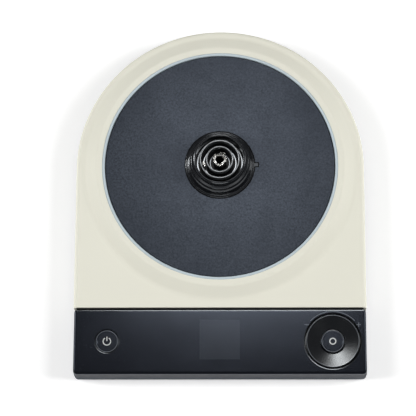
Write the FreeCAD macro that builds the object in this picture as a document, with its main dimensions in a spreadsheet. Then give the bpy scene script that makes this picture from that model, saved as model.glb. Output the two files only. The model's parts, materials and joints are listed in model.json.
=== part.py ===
import FreeCAD, Part
import math
import os
import Sketcher

# Power base of a cordless electric kettle, with a dial, two push buttons and a display.
# Millimetres. +Z is up, the controls face -Y, and the origin is on the table under the
# middle of the base. Most round pieces are turned about the connector's vertical axis,
# which stands CENTRE_Y behind the origin.

doc = FreeCAD.newDocument("KettleBase")

# ---------------------------------------------------------------- driving dimensions

DIMENSIONS = [
    # outline of the base, seen from above
    ("half_width", 91.75),
    ("front_reach", 134.0),
    ("control_reach", 113.1),
    ("fascia_reach", 92.75),
    ("housing_reach", 91.95),
    # levels above the table
    ("base_bottom", 2.0),
    ("split_level", 11.0),
    ("fascia_top", 21.0),
    ("deck_top", 22.0),
    ("well_floor", 23.4),
    ("plate_top", 25.2),
    ("lip_top", 26.0),
    ("connector_top", 38.9),
    # shells
    ("wall", 2.2),
    ("skirt", 2.0),
    ("edge_round", 3.0),
    ("front_round", 0.4),
    ("corner_round", 2.5),
    ("fascia_inset", 0.5),
    ("fascia_edge", 1.7),
    ("fascia_rear_corner", 2.0),
    ("tray_round", 0.8),
    ("lip_radius", 78.9),
    ("foot_radius", 86.8),
    ("lip_round", 3.0),
    ("foot_round", 6.0),
    # plate and trim ring
    ("plate_radius", 73.0),
    ("plate_hole", 22.2),
    ("trim_radius", 75.0),
    ("trim_gap", 0.25),
    ("key_length", 24.4),
    ("key_width", 2.3),
    # display
    ("display_side", 25.1),
    ("lens_depth", 1.5),
    ("module_side", 24.0),
    ("module_depth", 4.6),
    # power button
    ("power_x", 70.35),
    ("power_radius", 7.0),
    ("power_hole", 7.4),
    ("power_top", 20.6),
    # dial and the start button in its middle
    ("dial_x", 70.25),
    ("dial_radius", 16.8),
    ("dial_hole", 17.2),
    ("dial_flange", 18.2),
    ("dial_rim", 21.5),
    ("dial_eye", 7.5),
    ("guide_radius", 10.5),
    ("guide_play", 0.06),
    ("start_radius", 7.05),
    ("start_top", 20.4),
    ("button_travel", 0.8),
    # control board
    ("board_level", 11.0),
    ("board_depth", 1.6),
    ("switch_side", 6.0),
    ("switch_height", 1.2),
    # connector
    ("flange_radius", 21.9),
    ("neck_radius", 19.8),
    ("boss_radius", 16.7),
    ("boss_round", 1.6),
    ("slot_radius", 15.0),
    ("outer_ring", 12.15),
    ("inner_ring", 8.2),
    ("ring_wall", 0.65),
    ("slot_floor", 29.0),
    ("contact_bore", 2.4),
    ("contact_radius", 4.6),
    ("leaf_width", 3.0),
    ("leaf_depth", 0.5),
    # cord entry
    ("cord_bore", 3.6),
    ("gland_neck", 5.4),
    ("gland_flange", 6.7),
    # screws
    ("screw_shank", 1.4),
    ("screw_head", 3.0),
    ("small_shank", 1.0),
    ("small_head", 2.1),
    # power board
    ("power_board_level", 6.6),
    # rubber feet
    ("pad_radius", 8.0),
    ("pad_recess", 1.2),
]


class Size:
    """A length that knows its number and the spreadsheet formula that it comes from."""

    def __init__(self, text, value):
        self.text = text
        self.value = value

    def join(self, sign, other, value):
        other_text = other.text if isinstance(other, Size) else repr(float(other))
        return Size("(" + self.text + " " + sign + " " + other_text + ")", value)

    def __add__(self, other):
        return self.join("+", other, self.value + number(other))

    def __sub__(self, other):
        return self.join("-", other, self.value - number(other))

    def __mul__(self, other):
        return self.join("*", other, self.value * number(other))

    def __truediv__(self, other):
        return self.join("/", other, self.value / number(other))

    def __radd__(self, other):
        return size(other) + self

    def __rsub__(self, other):
        return size(other) - self

    def __rmul__(self, other):
        return size(other) * self

    def __neg__(self):
        return size(0.0) - self


def number(length):
    return length.value if isinstance(length, Size) else float(length)


def size(length):
    return length if isinstance(length, Size) else Size(repr(float(length)), float(length))


class Dims:
    """Each driving dimension by name, as a Size."""


sheet = doc.addObject("Spreadsheet::Sheet", "Dims")
for row, (alias, millimetres) in enumerate(DIMENSIONS, start=1):
    sheet.set("A%d" % row, alias)
    sheet.set("B%d" % row, str(millimetres))
    sheet.setAlias("B%d" % row, alias)
    setattr(Dims, alias, Size("Dims." + alias, millimetres))
doc.recompute()
d = Dims

CENTRE_Y = (d.front_reach - d.half_width) / 2
CONTROL_Y = CENTRE_Y - d.control_reach
FULL_TURN = 360.0
HALF_TURN = 180.0
nodes = []

# ------------------------------------------------------------------------ helpers


def bind(thing, prop, length):
    thing.setExpression(prop, size(length).text)


def place(thing, x=0.0, y=0.0, z=0.0):
    bind(thing, "Placement.Base.x", x)
    bind(thing, "Placement.Base.y", y)
    bind(thing, "Placement.Base.z", z)


def keep(thing, label):
    """Mark an object as a sub-part: its label is the name of its file."""
    thing.Label = label
    nodes.append(thing)
    return thing


def new_body(name):
    return doc.addObject("PartDesign::Body", name + "_body")


def origin_part(body, role):
    return [part for part in body.Origin.OriginFeatures if part.Role == role][0]


def new_sketch(body, name, role="XY_Plane", level=0.0):
    sketch = body.newObject("Sketcher::SketchObject", name)
    sketch.AttachmentSupport = (origin_part(body, role), [""])
    sketch.MapMode = "FlatFace"
    bind(sketch, "AttachmentOffset.Base.z", level)
    return sketch


def constrain(sketch, length, *spec):
    """Add a constraint that follows a length."""
    index = sketch.addConstraint(Sketcher.Constraint(*spec, number(length)))
    sketch.setExpression("Constraints[%d]" % index, size(length).text)


def pin_point(sketch, shape, end, x, y):
    constrain(sketch, x, "DistanceX", -1, 1, shape, end)
    constrain(sketch, y, "DistanceY", -1, 1, shape, end)


def draw_circle(sketch, x, y, radius):
    centre = FreeCAD.Vector(number(x), number(y), 0)
    shape = sketch.addGeometry(Part.Circle(centre, FreeCAD.Vector(0, 0, 1), number(radius)), False)
    constrain(sketch, radius, "Radius", shape)
    pin_point(sketch, shape, 3, x, y)


def draw_outline(sketch, points):
    """Closed outline. A point of four lengths is reached by an arc through its last two."""
    corners = [FreeCAD.Vector(number(p[0]), number(p[1]), 0) for p in points]
    shapes = []
    for index, point in enumerate(points):
        start = corners[index - 1]
        finish = corners[index]
        if len(point) == 4:
            middle = FreeCAD.Vector(number(point[2]), number(point[3]), 0)
            arc = Part.ArcOfCircle(start, middle, finish)
            shape = sketch.addGeometry(arc, False)
            turns_left = (middle - start).cross(finish - middle).z > 0
            shapes.append((shape, 1, 2) if turns_left else (shape, 2, 1))
            offset = arc.Center - finish
            chord = finish - start
            across = abs(chord.x) > abs(chord.y)
            kind, length = ("DistanceY", offset.y) if across else ("DistanceX", offset.x)
            held = shapes[-1][2]
            sketch.addConstraint(Sketcher.Constraint(kind, shape, held, shape, 3, length))
        else:
            shape = sketch.addGeometry(Part.LineSegment(start, finish), False)
            shapes.append((shape, 1, 2))
    for index, (shape, _, last) in enumerate(shapes):
        following, first, _ = shapes[(index + 1) % len(shapes)]
        sketch.addConstraint(Sketcher.Constraint("Coincident", shape, last, following, first))
        pin_point(sketch, shape, last, points[index][0], points[index][1])


def rectangle(x0, x1, y0, y1):
    return [(x0, y0), (x1, y0), (x1, y1), (x0, y1)]


def draw_base_shape(sketch, inset, reach):
    """Half circle about the origin, then straight sides down to a straight front."""
    radius = d.half_width - inset
    corners = [(-radius, 0.0), (-radius, -reach), (radius, -reach), (radius, 0.0)]
    for (x0, y0), (x1, y1) in zip(corners, corners[1:]):
        start = FreeCAD.Vector(number(x0), number(y0), 0)
        finish = FreeCAD.Vector(number(x1), number(y1), 0)
        sketch.addGeometry(Part.LineSegment(start, finish), False)
    circle = Part.Circle(FreeCAD.Vector(0, 0, 0), FreeCAD.Vector(0, 0, 1), number(radius))
    arc = sketch.addGeometry(Part.ArcOfCircle(circle, 0.0, math.pi), False)
    for line in (1, 2):
        sketch.addConstraint(Sketcher.Constraint("Coincident", line - 1, 2, line, 1))
    sketch.addConstraint(Sketcher.Constraint("Coincident", arc, 1, 2, 2))
    sketch.addConstraint(Sketcher.Constraint("Coincident", arc, 2, 0, 1))
    sketch.addConstraint(Sketcher.Constraint("PointOnObject", arc, 3, -1))
    pin_point(sketch, 0, 1, *corners[0])
    for line in (0, 1, 2):
        pin_point(sketch, line, 2, *corners[line + 1])


def pad(body, sketch, length, name):
    feature = body.newObject("PartDesign::Pad", name)
    feature.Profile = sketch
    bind(feature, "Length", length)
    body.Tip = feature
    doc.recompute()
    return feature


def pocket(body, sketch, name, length=None, upward=False):
    """Cut down from the sketch (or up), and make sure that something was cut."""
    volume = body.Shape.Volume
    feature = body.newObject("PartDesign::Pocket", name)
    feature.Profile = sketch
    feature.Reversed = upward
    if length is None:
        feature.Type = "ThroughAll"
    else:
        bind(feature, "Length", length)
    body.Tip = feature
    doc.recompute()
    if body.Shape.Volume >= volume - 0.001:
        raise RuntimeError(name + " cuts nothing")
    return feature


def revolve(body, points, name, angle=FULL_TURN, cut=False):
    sketch = new_sketch(body, name + "_profile", "XZ_Plane")
    draw_outline(sketch, points)
    volume = body.Shape.Volume if cut else 0.0
    kind = "PartDesign::Groove" if cut else "PartDesign::Revolution"
    feature = body.newObject(kind, name)
    feature.Profile = sketch
    feature.ReferenceAxis = (sketch, ["V_Axis"])
    feature.Angle = angle
    body.Tip = feature
    doc.recompute()
    if cut and body.Shape.Volume >= volume - 0.001:
        raise RuntimeError(name + " cuts nothing")
    return feature


def turned(label, points, x=0.0, y=CENTRE_Y):
    """A body turned about a vertical axis from a profile of (radius, level)."""
    body = new_body(label)
    revolve(body, points, label + "_turning")
    place(body, x, y)
    return keep(body, label)


def dress_edges(body, kind, prop, length, name, test):
    """Fillet or chamfer the edges that pass the test."""
    base = body.Tip
    names = []
    for index, edge in enumerate(base.Shape.Edges, start=1):
        if test(edge):
            names.append("Edge%d" % index)
    if not names:
        raise RuntimeError(name + " finds no edge")
    feature = body.newObject(kind, name)
    feature.Base = (base, names)
    bind(feature, prop, length)
    body.Tip = feature
    doc.recompute()
    return feature


def round_edges(body, radius, name, test):
    return dress_edges(body, "PartDesign::Fillet", "Radius", radius, name, test)


def chamfer_edges(body, width, name, test):
    return dress_edges(body, "PartDesign::Chamfer", "Size", width, name, test)


def polar_pattern(body, feature, count, name):
    pattern = body.newObject("PartDesign::PolarPattern", name)
    pattern.Originals = [feature]
    pattern.Axis = (origin_part(body, "Z_Axis"), [""])
    pattern.Angle = FULL_TURN
    pattern.Occurrences = count
    body.Tip = pattern
    doc.recompute()
    return pattern


def at_level(edge, level):
    box = edge.BoundBox
    return abs(box.ZMin - number(level)) < 1e-4 and abs(box.ZMax - number(level)) < 1e-4


def is_circle(edge, radius, level):
    if edge.Curve.TypeId != "Part::GeomCircle":
        return False
    return abs(edge.Curve.Radius - number(radius)) < 1e-4 and at_level(edge, level)


def box(name, x0, x1, y0, y1, z0, z1):
    thing = doc.addObject("Part::Box", name)
    bind(thing, "Length", size(x1) - x0)
    bind(thing, "Width", size(y1) - y0)
    bind(thing, "Height", size(z1) - z0)
    place(thing, x0, y0, z0)
    return thing


def cylinder(name, radius, x, y, z0, z1):
    thing = doc.addObject("Part::Cylinder", name)
    bind(thing, "Radius", radius)
    bind(thing, "Height", size(z1) - z0)
    place(thing, x, y, z0)
    return thing


def fuse(name, things):
    thing = doc.addObject("Part::MultiFuse", name)
    thing.Shapes = things
    return thing


def cut(name, base, tool):
    thing = doc.addObject("Part::Cut", name)
    thing.Base = base
    thing.Tool = tool
    return thing


def group_of(name, things):
    thing = doc.addObject("Part::Compound", name + "_group")
    thing.Links = things
    return thing


def group(label, things):
    """Separate solids that share one node."""
    return keep(group_of(label, things), label)


def polar(radius, degrees):
    """The point at this radius and angle about the origin, as two lengths."""
    angle = math.radians(degrees)
    return radius * round(math.cos(angle), 6), radius * round(math.sin(angle), 6)


def turn(thing, degrees, axis=(0, 0, 1)):
    thing.Placement.Rotation = FreeCAD.Rotation(FreeCAD.Vector(*axis), degrees)


RECESS_WIDTH = 0.7


def screws(label, places, seat, head, shank, length, points_up=True):
    """Cross-head screws whose heads sit against the level seat."""
    head_height = head * 0.6
    made = []
    for index, (x, y) in enumerate(places, start=1):
        name = "%s_%d" % (label, index)
        solid = fuse(name + "_blank", [
            cylinder(name + "_head", head, 0.0, 0.0, -head_height, 0.0),
            cylinder(name + "_shank", shank, 0.0, 0.0, -0.2, length),
        ])
        reach = head * 0.6
        half = RECESS_WIDTH / 2
        recess = fuse(name + "_recess", [
            box(name + "_slot_a", -reach, reach, -half, half, -head_height - 0.1, -head_height * 0.4),
            box(name + "_slot_b", -half, half, -reach, reach, -head_height - 0.1, -head_height * 0.4),
        ])
        screw = cut(name, solid, recess)
        if not points_up:
            turn(screw, HALF_TURN, (1, 0, 0))
        place(screw, x, y, seat)
        made.append(screw)
    return group(label, made)


# --------------------------------------------------------------- where screws stand

HOUSING_SCREWS = [(84.3, -70.0), (84.3, -8.0), (60.0, 59.0)]
HOUSING_SCREWS += [(-x, y) for (x, y) in HOUSING_SCREWS]
FASCIA_SCREWS = [(x, side) for x in (-86.0, 86.0) for side in (-16.7, 16.7)]
BOARD_SCREWS = [(x, side) for x in (-45.0, 45.0) for side in (-9.5, 9.5)]
POWER_BOARD_SCREWS = [(x, y) for x in (37.0, 73.0) for y in (-58.0, 12.0)]
CLAMP_X = 10.0
CLAMP_REACH = 66.0
FEET = {
    "foot_front_left": (-70.0, -118.0),
    "foot_front_right": (70.0, -118.0),
    "foot_rear_left": (-44.0, 62.0),
    "foot_rear_right": (44.0, 62.0),
}
LIGHT_COUNT = 8
LIGHT_RADIUS = (d.plate_radius + d.trim_radius) / 2
LIGHT_HOLE = 0.8
POST = 4.2
BOSS = 3.2
PILOT = 0.05

# ------------------------------------------------------------------------ housings


def make_upper_housing():
    """Shell with a raised round podium, open below, that ends behind the controls."""
    body = new_body("upper_housing")
    outline = new_sketch(body, "upper_outline", level=d.split_level)
    draw_base_shape(outline, 0.0, d.housing_reach)
    pad(body, outline, d.deck_top - d.split_level, "upper_block")
    front = -number(d.housing_reach)

    def top_side(edge):
        return at_level(edge, d.deck_top) and edge.BoundBox.YMax > front + 1.0

    def top_front(edge):
        return at_level(edge, d.deck_top) and edge.BoundBox.YMax < front + 1.0

    round_edges(body, d.edge_round, "upper_edge", top_side)
    round_edges(body, d.front_round, "upper_front_edge", top_front)
    revolve(body, [
        (0.0, d.deck_top - 1.0),
        (d.foot_radius, d.deck_top - 1.0),
        (d.foot_radius, d.deck_top),
        (d.lip_radius, d.lip_top),
        (0.0, d.lip_top),
    ], "podium")
    round_edges(body, d.lip_round, "podium_lip", lambda edge: is_circle(edge, d.lip_radius, d.lip_top))
    round_edges(body, d.foot_round, "podium_foot", lambda edge: is_circle(edge, d.foot_radius, d.deck_top))

    hollow = new_sketch(body, "upper_hollow", level=d.deck_top - d.wall)
    draw_base_shape(hollow, d.wall, d.housing_reach - d.wall)
    pocket(body, hollow, "upper_inside")
    ceiling = d.well_floor - 1.8
    revolve(body, [
        (0.0, d.deck_top - d.wall - 1.0),
        (d.foot_radius - 3.0, d.deck_top - d.wall - 1.0),
        (d.foot_radius - 3.0, d.deck_top - d.wall),
        (d.lip_radius + 1.0, ceiling),
        (0.0, ceiling),
    ], "podium_inside", cut=True)
    revolve(body, [
        (0.0, ceiling - 1.0),
        (d.neck_radius + 0.3, ceiling - 1.0),
        (d.neck_radius + 0.3, d.well_floor),
        (d.trim_radius + 0.02, d.well_floor),
        (d.trim_radius + 0.02, d.lip_top + 1.0),
        (0.0, d.lip_top + 1.0),
    ], "plate_well", cut=True)

    light = new_sketch(body, "light_hole", level=d.well_floor)
    draw_circle(light, LIGHT_RADIUS, 0.0, LIGHT_HOLE)
    light_pocket = pocket(body, light, "light_path", length=3.0)
    polar_pattern(body, light_pocket, LIGHT_COUNT, "light_paths")

    bosses = new_sketch(body, "upper_boss_circles", level=d.split_level)
    for (x, y) in HOUSING_SCREWS:
        draw_circle(bosses, x, y, BOSS)
    pad(body, bosses, d.deck_top - d.wall + 0.5 - d.split_level, "upper_bosses")
    pilots = new_sketch(body, "upper_pilot_circles", level=d.deck_top - d.wall - 1.0)
    for (x, y) in HOUSING_SCREWS:
        draw_circle(pilots, x, y, d.screw_shank + PILOT)
    pocket(body, pilots, "upper_pilots")

    ledge = new_sketch(body, "ledge_outline", level=13.0)
    ledge_half = 82.6
    draw_outline(ledge, rectangle(-ledge_half, ledge_half, -d.housing_reach - 1.8, -d.housing_reach + 0.5))
    pad(body, ledge, 3.0, "fascia_ledge")

    mouth = new_sketch(body, "upper_gland_circle", "XZ_Plane", level=-d.half_width - 1.0)
    draw_circle(mouth, 0.0, d.split_level, d.gland_neck + 0.1)
    pocket(body, mouth, "upper_gland_mouth", length=8.0, upward=True)
    place(body, 0.0, CENTRE_Y)
    keep(body, "upper_housing")


def make_lower_housing():
    """Tray that closes the base from below, with screw posts and a rear tongue."""
    body = new_body("lower_housing")
    outline = new_sketch(body, "lower_outline", level=d.base_bottom)
    draw_base_shape(outline, 0.15, d.front_reach)
    pad(body, outline, d.split_level - d.base_bottom, "lower_block")
    front = -number(d.front_reach)

    def front_corner(edge):
        upright = edge.BoundBox.ZLength > 1.0 and edge.BoundBox.XLength < 0.01
        return upright and edge.BoundBox.YLength < 0.01 and edge.BoundBox.YMax < front + 0.01

    round_edges(body, d.corner_round, "lower_corners", front_corner)
    round_edges(body, d.tray_round, "lower_edge", lambda edge: at_level(edge, d.base_bottom))
    inside = new_sketch(body, "lower_inside_outline", level=d.split_level)
    draw_base_shape(inside, d.wall + 0.15, d.front_reach - d.wall)
    floor = d.base_bottom + d.wall
    pocket(body, inside, "lower_inside", length=d.split_level - floor)

    posts = new_sketch(body, "post_circles", level=d.base_bottom + 1.0)
    for (x, y) in HOUSING_SCREWS:
        draw_circle(posts, x, y, POST)
    pad(body, posts, d.split_level - d.base_bottom - 1.0, "lower_posts")
    fascia_posts = new_sketch(body, "fascia_post_circles", level=d.base_bottom + 1.0)
    for (x, side) in FASCIA_SCREWS:
        draw_circle(fascia_posts, x, side - d.control_reach, 3.7)
    pad(body, fascia_posts, d.split_level - d.base_bottom - 1.0, "fascia_posts")
    standoffs = new_sketch(body, "standoff_circles", level=d.base_bottom + 1.0)
    for (x, y) in POWER_BOARD_SCREWS:
        draw_circle(standoffs, x, y, 2.6)
    pad(body, standoffs, d.power_board_level - d.base_bottom - 1.0, "power_board_standoffs")
    saddles = new_sketch(body, "clamp_post_circles", level=d.base_bottom + 1.0)
    for x in (-CLAMP_X, CLAMP_X):
        draw_circle(saddles, x, CLAMP_REACH, 3.0)
    pad(body, saddles, d.split_level + d.cord_bore + 0.1 - d.base_bottom - 1.0, "clamp_posts")

    tongue_radius = d.half_width - d.wall - 0.2
    revolve(body, [
        (tongue_radius - 1.2, floor - 0.5),
        (tongue_radius + 0.1, floor - 0.5),
        (tongue_radius + 0.1, d.split_level - 0.3),
        (tongue_radius, d.split_level),
        (tongue_radius, d.split_level + 2.0),
        (tongue_radius - 1.2, d.split_level + 2.0),
    ], "rear_tongue", angle=HALF_TURN)

    heads = new_sketch(body, "head_circles", level=d.base_bottom + 2.6)
    shanks = new_sketch(body, "shank_circles", level=d.split_level + 0.5)
    for (x, y) in HOUSING_SCREWS:
        draw_circle(heads, x, y, d.screw_head + 0.2)
        draw_circle(shanks, x, y, d.screw_shank + 0.2)
    pocket(body, heads, "screw_heads")
    pocket(body, shanks, "screw_shanks")
    small_heads = new_sketch(body, "small_head_circles", level=d.base_bottom + 2.6)
    small_shanks = new_sketch(body, "small_shank_circles", level=d.split_level + 0.5)
    for (x, side) in FASCIA_SCREWS:
        draw_circle(small_heads, x, side - d.control_reach, d.small_head + 0.2)
        draw_circle(small_shanks, x, side - d.control_reach, d.small_shank + 0.2)
    pocket(body, small_heads, "fascia_screw_heads")
    pocket(body, small_shanks, "fascia_screw_shanks")
    pilots = new_sketch(body, "standoff_pilot_circles", level=d.split_level + 5.0)
    for (x, y) in POWER_BOARD_SCREWS:
        draw_circle(pilots, x, y, d.small_shank + PILOT)
    for x in (-CLAMP_X, CLAMP_X):
        draw_circle(pilots, x, CLAMP_REACH, d.small_shank + PILOT)
    pocket(body, pilots, "standoff_pilots", length=d.split_level + 5.0 - d.base_bottom - 1.5)

    recesses = new_sketch(body, "foot_recess_circles", level=d.base_bottom + d.pad_recess)
    for (x, y) in FEET.values():
        draw_circle(recesses, x, y, d.pad_radius + 0.1)
    pocket(body, recesses, "foot_recesses")

    drain = new_sketch(body, "drain_outline", level=floor + 0.1)
    draw_outline(drain, rectangle(-60.0, -34.0, -40.0, -37.6))
    drain_slot = pocket(body, drain, "drain_slot", length=d.wall + 1.0)
    pattern = body.newObject("PartDesign::LinearPattern", "drain_slots")
    pattern.Originals = [drain_slot]
    pattern.Direction = (origin_part(body, "Y_Axis"), [""])
    pattern.Length = 30.0
    pattern.Occurrences = 6
    body.Tip = pattern
    doc.recompute()

    mouth = new_sketch(body, "lower_gland_circle", "XZ_Plane", level=-d.half_width - 1.0)
    draw_circle(mouth, 0.0, d.split_level, d.gland_neck + 0.1)
    pocket(body, mouth, "lower_gland_mouth", length=8.0, upward=True)
    place(body, 0.0, CENTRE_Y)
    keep(body, "lower_housing")


def make_kettle_plate():
    body = turned("kettle_plate", [
        (d.plate_hole, d.well_floor),
        (d.plate_radius, d.well_floor),
        (d.plate_radius, d.plate_top - 0.4),
        (d.plate_radius - 0.4, d.plate_top),
        (d.plate_hole + 0.3, d.plate_top),
        (d.plate_hole, d.plate_top - 0.3),
    ])
    notch = new_sketch(body, "key_notch", level=d.plate_top + 1.0)
    half = d.key_width / 2 + 0.2
    draw_outline(notch, rectangle(d.plate_hole - 1.0, d.key_length + 0.25, -half, half))
    pocket(body, notch, "key_way", length=5.0)


def make_trim_ring():
    turned("plate_trim_ring", [
        (d.plate_radius + d.trim_gap, d.well_floor),
        (d.trim_radius, d.well_floor),
        (d.trim_radius, d.lip_top - 0.35),
        (d.trim_radius - 0.25, d.lip_top - 0.1),
        (d.plate_radius + d.trim_gap + 0.25, d.lip_top - 0.1),
        (d.plate_radius + d.trim_gap, d.lip_top - 0.35),
    ])


def make_ring_light_board():
    """Ring of circuit board under the podium, with one lamp under each light hole."""
    body = new_body("ring_light_board")
    top = d.well_floor - 1.9
    revolve(body, [
        (LIGHT_RADIUS - 3.0, top - 1.2),
        (LIGHT_RADIUS + 3.0, top - 1.2),
        (LIGHT_RADIUS + 3.0, top),
        (LIGHT_RADIUS - 3.0, top),
    ], "light_board_ring")
    lamp = new_sketch(body, "lamp_outline", level=top)
    draw_outline(lamp, rectangle(LIGHT_RADIUS - 0.5, LIGHT_RADIUS + 0.5, -0.5, 0.5))
    lamp_pad = pad(body, lamp, 0.5, "lamp")
    polar_pattern(body, lamp_pad, LIGHT_COUNT, "lamps")
    place(body, 0.0, CENTRE_Y)
    keep(body, "ring_light_board")


# ------------------------------------------------------------------ control fascia


def make_control_fascia():
    """Gloss cap over the controls: a top, a front skirt, two sides and a short back."""
    body = new_body("control_fascia")
    half = d.half_width - d.fascia_inset
    outline = new_sketch(body, "fascia_outline", level=d.split_level)
    draw_outline(outline, rectangle(-half, half, -d.front_reach, -d.fascia_reach))
    pad(body, outline, d.fascia_top - d.split_level, "fascia_block")
    front = -number(d.front_reach)
    back = -number(d.fascia_reach)

    def upright(edge, y):
        box_ = edge.BoundBox
        return box_.ZLength > 1.0 and abs(box_.YMin - y) < 0.01 and abs(box_.YMax - y) < 0.01

    round_edges(body, d.corner_round, "fascia_front_corners", lambda edge: upright(edge, front))
    round_edges(body, d.fascia_rear_corner, "fascia_rear_corners", lambda edge: upright(edge, back))
    round_edges(body, d.fascia_edge, "fascia_top_edge", lambda edge: at_level(edge, d.fascia_top))

    hollow = new_sketch(body, "fascia_hollow", level=d.fascia_top - d.wall)
    inner = half - d.skirt
    draw_outline(hollow, rectangle(-inner, inner, d.skirt - d.front_reach, -d.fascia_reach - 1.2))
    pocket(body, hollow, "fascia_inside")
    back_cut = new_sketch(body, "fascia_back_cut", level=16.2)
    draw_outline(back_cut, rectangle(-inner, inner, -d.fascia_reach - 2.0, -d.fascia_reach + 1.0))
    pocket(body, back_cut, "fascia_back")

    posts = new_sketch(body, "fascia_boss_circles", level=d.split_level)
    for (x, side) in FASCIA_SCREWS:
        draw_circle(posts, x, side - d.control_reach, 2.9)
    pad(body, posts, d.fascia_top - 1.0 - d.split_level, "fascia_bosses")
    board_posts = new_sketch(body, "board_boss_circles", level=d.board_level + d.board_depth)
    for (x, side) in BOARD_SCREWS:
        draw_circle(board_posts, x, side - d.control_reach, 2.6)
    pad(body, board_posts, d.fascia_top - 1.0 - d.board_level - d.board_depth, "board_bosses")
    pilots = new_sketch(body, "fascia_pilot_circles", level=d.fascia_top - d.wall)
    for (x, side) in FASCIA_SCREWS + BOARD_SCREWS:
        draw_circle(pilots, x, side - d.control_reach, d.small_shank + PILOT)
    pocket(body, pilots, "fascia_pilots")

    window = new_sketch(body, "display_window", level=d.fascia_top + 1.0)
    side = d.display_side / 2
    draw_outline(window, rectangle(-side, side, -d.control_reach - side + 1.0, -d.control_reach + side + 1.0))
    pocket(body, window, "display_opening", length=4.0)
    power = new_sketch(body, "power_hole_circle", level=d.fascia_top + 1.0)
    draw_circle(power, -d.power_x, -d.control_reach, d.power_hole)
    pocket(body, power, "power_opening", length=4.0)
    dial = new_sketch(body, "dial_hole_circle", level=d.fascia_top + 1.0)
    draw_circle(dial, d.dial_x, -d.control_reach, d.dial_hole)
    pocket(body, dial, "dial_opening", length=4.0)

    chamfer_edges(body, 0.45, "power_chamfer", lambda edge: is_circle(edge, d.power_hole, d.fascia_top))
    chamfer_edges(body, 0.9, "dial_chamfer", lambda edge: is_circle(edge, d.dial_hole, d.fascia_top))
    place(body, 0.0, CENTRE_Y)
    keep(body, "control_fascia")


def make_display():
    side = d.display_side / 2
    middle = CONTROL_Y + 1.0
    lens = box("display_lens_box", -side, side, middle - side, middle + side,
               d.fascia_top - d.lens_depth, d.fascia_top)
    keep(lens, "display_lens")
    half = d.module_side / 2
    top = d.fascia_top - d.lens_depth - 0.1
    frame = box("module_frame", -half, half, middle - half, middle + half, top - d.module_depth, top)
    window = box("module_window", 2.0 - half, half - 2.0, middle - half + 2.0, middle + half - 2.0,
                 top - 0.5, top + 1.0)
    frame_cut = cut("module_cut", frame, window)
    pins = []
    for index in range(6):
        x = -10.0 + 4.0 * index
        pins.append(box("module_pin_%d" % index, x - 0.25, x + 0.25, middle - half + 0.5, middle - half + 1.0,
                        d.board_level + d.board_depth, top - d.module_depth + 0.5))
    keep(fuse("module_fuse", [frame_cut] + pins), "display_module")


# -------------------------------------------------------------------------- controls

SYMBOL_DEPTH = 0.6
SYMBOL_PROUD = 0.02
# fall of the dial's conical face from its rim to its eye
DIAL_FALL = 2.0
CAP_DISH = 0.18
POWER_SYMBOL = 2.35
START_SYMBOL = 1.85
SYMBOL_LINE = 0.7
BAR_START = 0.1
BAR_LENGTH = 2.9
BAR_GAP = 1.2
SWITCH_TIP = 0.3


def board_top():
    return d.board_level + d.board_depth


def make_power_button():
    """Round cap with a retaining flange, a stem over its switch and a sunk symbol."""
    stem_bottom = board_top() + d.switch_height + SWITCH_TIP + d.button_travel + 0.1
    body = turned("power_button", [
        (0.0, stem_bottom),
        (1.8, stem_bottom),
        (1.8, 16.4),
        (5.6, 16.4),
        (5.6, 17.3),
        (8.2, 17.3),
        (8.2, 18.5),
        (d.power_radius, 18.5),
        (d.power_radius, d.power_top - 0.45),
        (d.power_radius - 0.45, d.power_top, d.power_radius - 0.13, d.power_top - 0.13),
        (d.power_radius - 1.0, d.power_top),
        (d.power_radius - 1.25, d.power_top - CAP_DISH),
        (0.0, d.power_top - CAP_DISH),
    ], -d.power_x, CONTROL_Y)
    top = d.power_top - CAP_DISH
    sunk = new_sketch(body, "power_symbol_groove", level=top + 1.0)
    draw_circle(sunk, 0.0, 0.0, POWER_SYMBOL + SYMBOL_LINE / 2)
    draw_circle(sunk, 0.0, 0.0, POWER_SYMBOL - SYMBOL_LINE / 2)
    pocket(body, sunk, "power_ring_groove", length=1.0 + SYMBOL_DEPTH)
    bar = new_sketch(body, "power_bar_groove", level=top + 1.0)
    draw_outline(bar, rectangle(-SYMBOL_LINE / 2, SYMBOL_LINE / 2, BAR_START, BAR_START + BAR_LENGTH))
    pocket(body, bar, "power_bar_slot", length=1.0 + SYMBOL_DEPTH)


def ring(name, radius, x, y, z0, z1):
    outside = cylinder(name + "_outside", radius + SYMBOL_LINE / 2, x, y, z0, z1)
    inside = cylinder(name + "_inside", radius - SYMBOL_LINE / 2, x, y, size(z0) - 1.0, size(z1) + 1.0)
    return cut(name, outside, inside)


def make_power_symbol():
    """Open ring with a bar in its gap, set into the cap's grooves."""
    top = d.power_top - CAP_DISH
    low = top - SYMBOL_DEPTH
    high = top + SYMBOL_PROUD
    hoop = ring("power_hoop", POWER_SYMBOL, -d.power_x, CONTROL_Y, low, high)
    gap = box("power_gap", -BAR_GAP / 2 - d.power_x, BAR_GAP / 2 - d.power_x,
              CONTROL_Y + 1.0, CONTROL_Y + 4.0, low - 1.0, high + 1.0)
    bar = box("power_bar", -SYMBOL_LINE / 2 - d.power_x, SYMBOL_LINE / 2 - d.power_x,
              CONTROL_Y + BAR_START, CONTROL_Y + BAR_START + BAR_LENGTH, low, high)
    group("power_symbol", [cut("power_hoop_open", hoop, gap), bar])


def make_dome(label, x, top, foot, crown):
    """Silicone return dome round a switch: a foot on the board, a thin cone and a crown."""
    base = board_top()
    shoulder = base + d.switch_height + 0.2
    turned(label, [
        (foot - 0.8, base),
        (foot + 0.6, base),
        (foot + 0.6, base + 0.7),
        (foot, base + 0.7),
        (foot, shoulder),
        (crown + 0.5, top - 0.9),
        (crown + 0.5, top),
        (crown - 0.5, top),
        (crown - 0.5, top - 1.2),
        (foot - 0.8, shoulder),
    ], x, CONTROL_Y)


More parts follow.
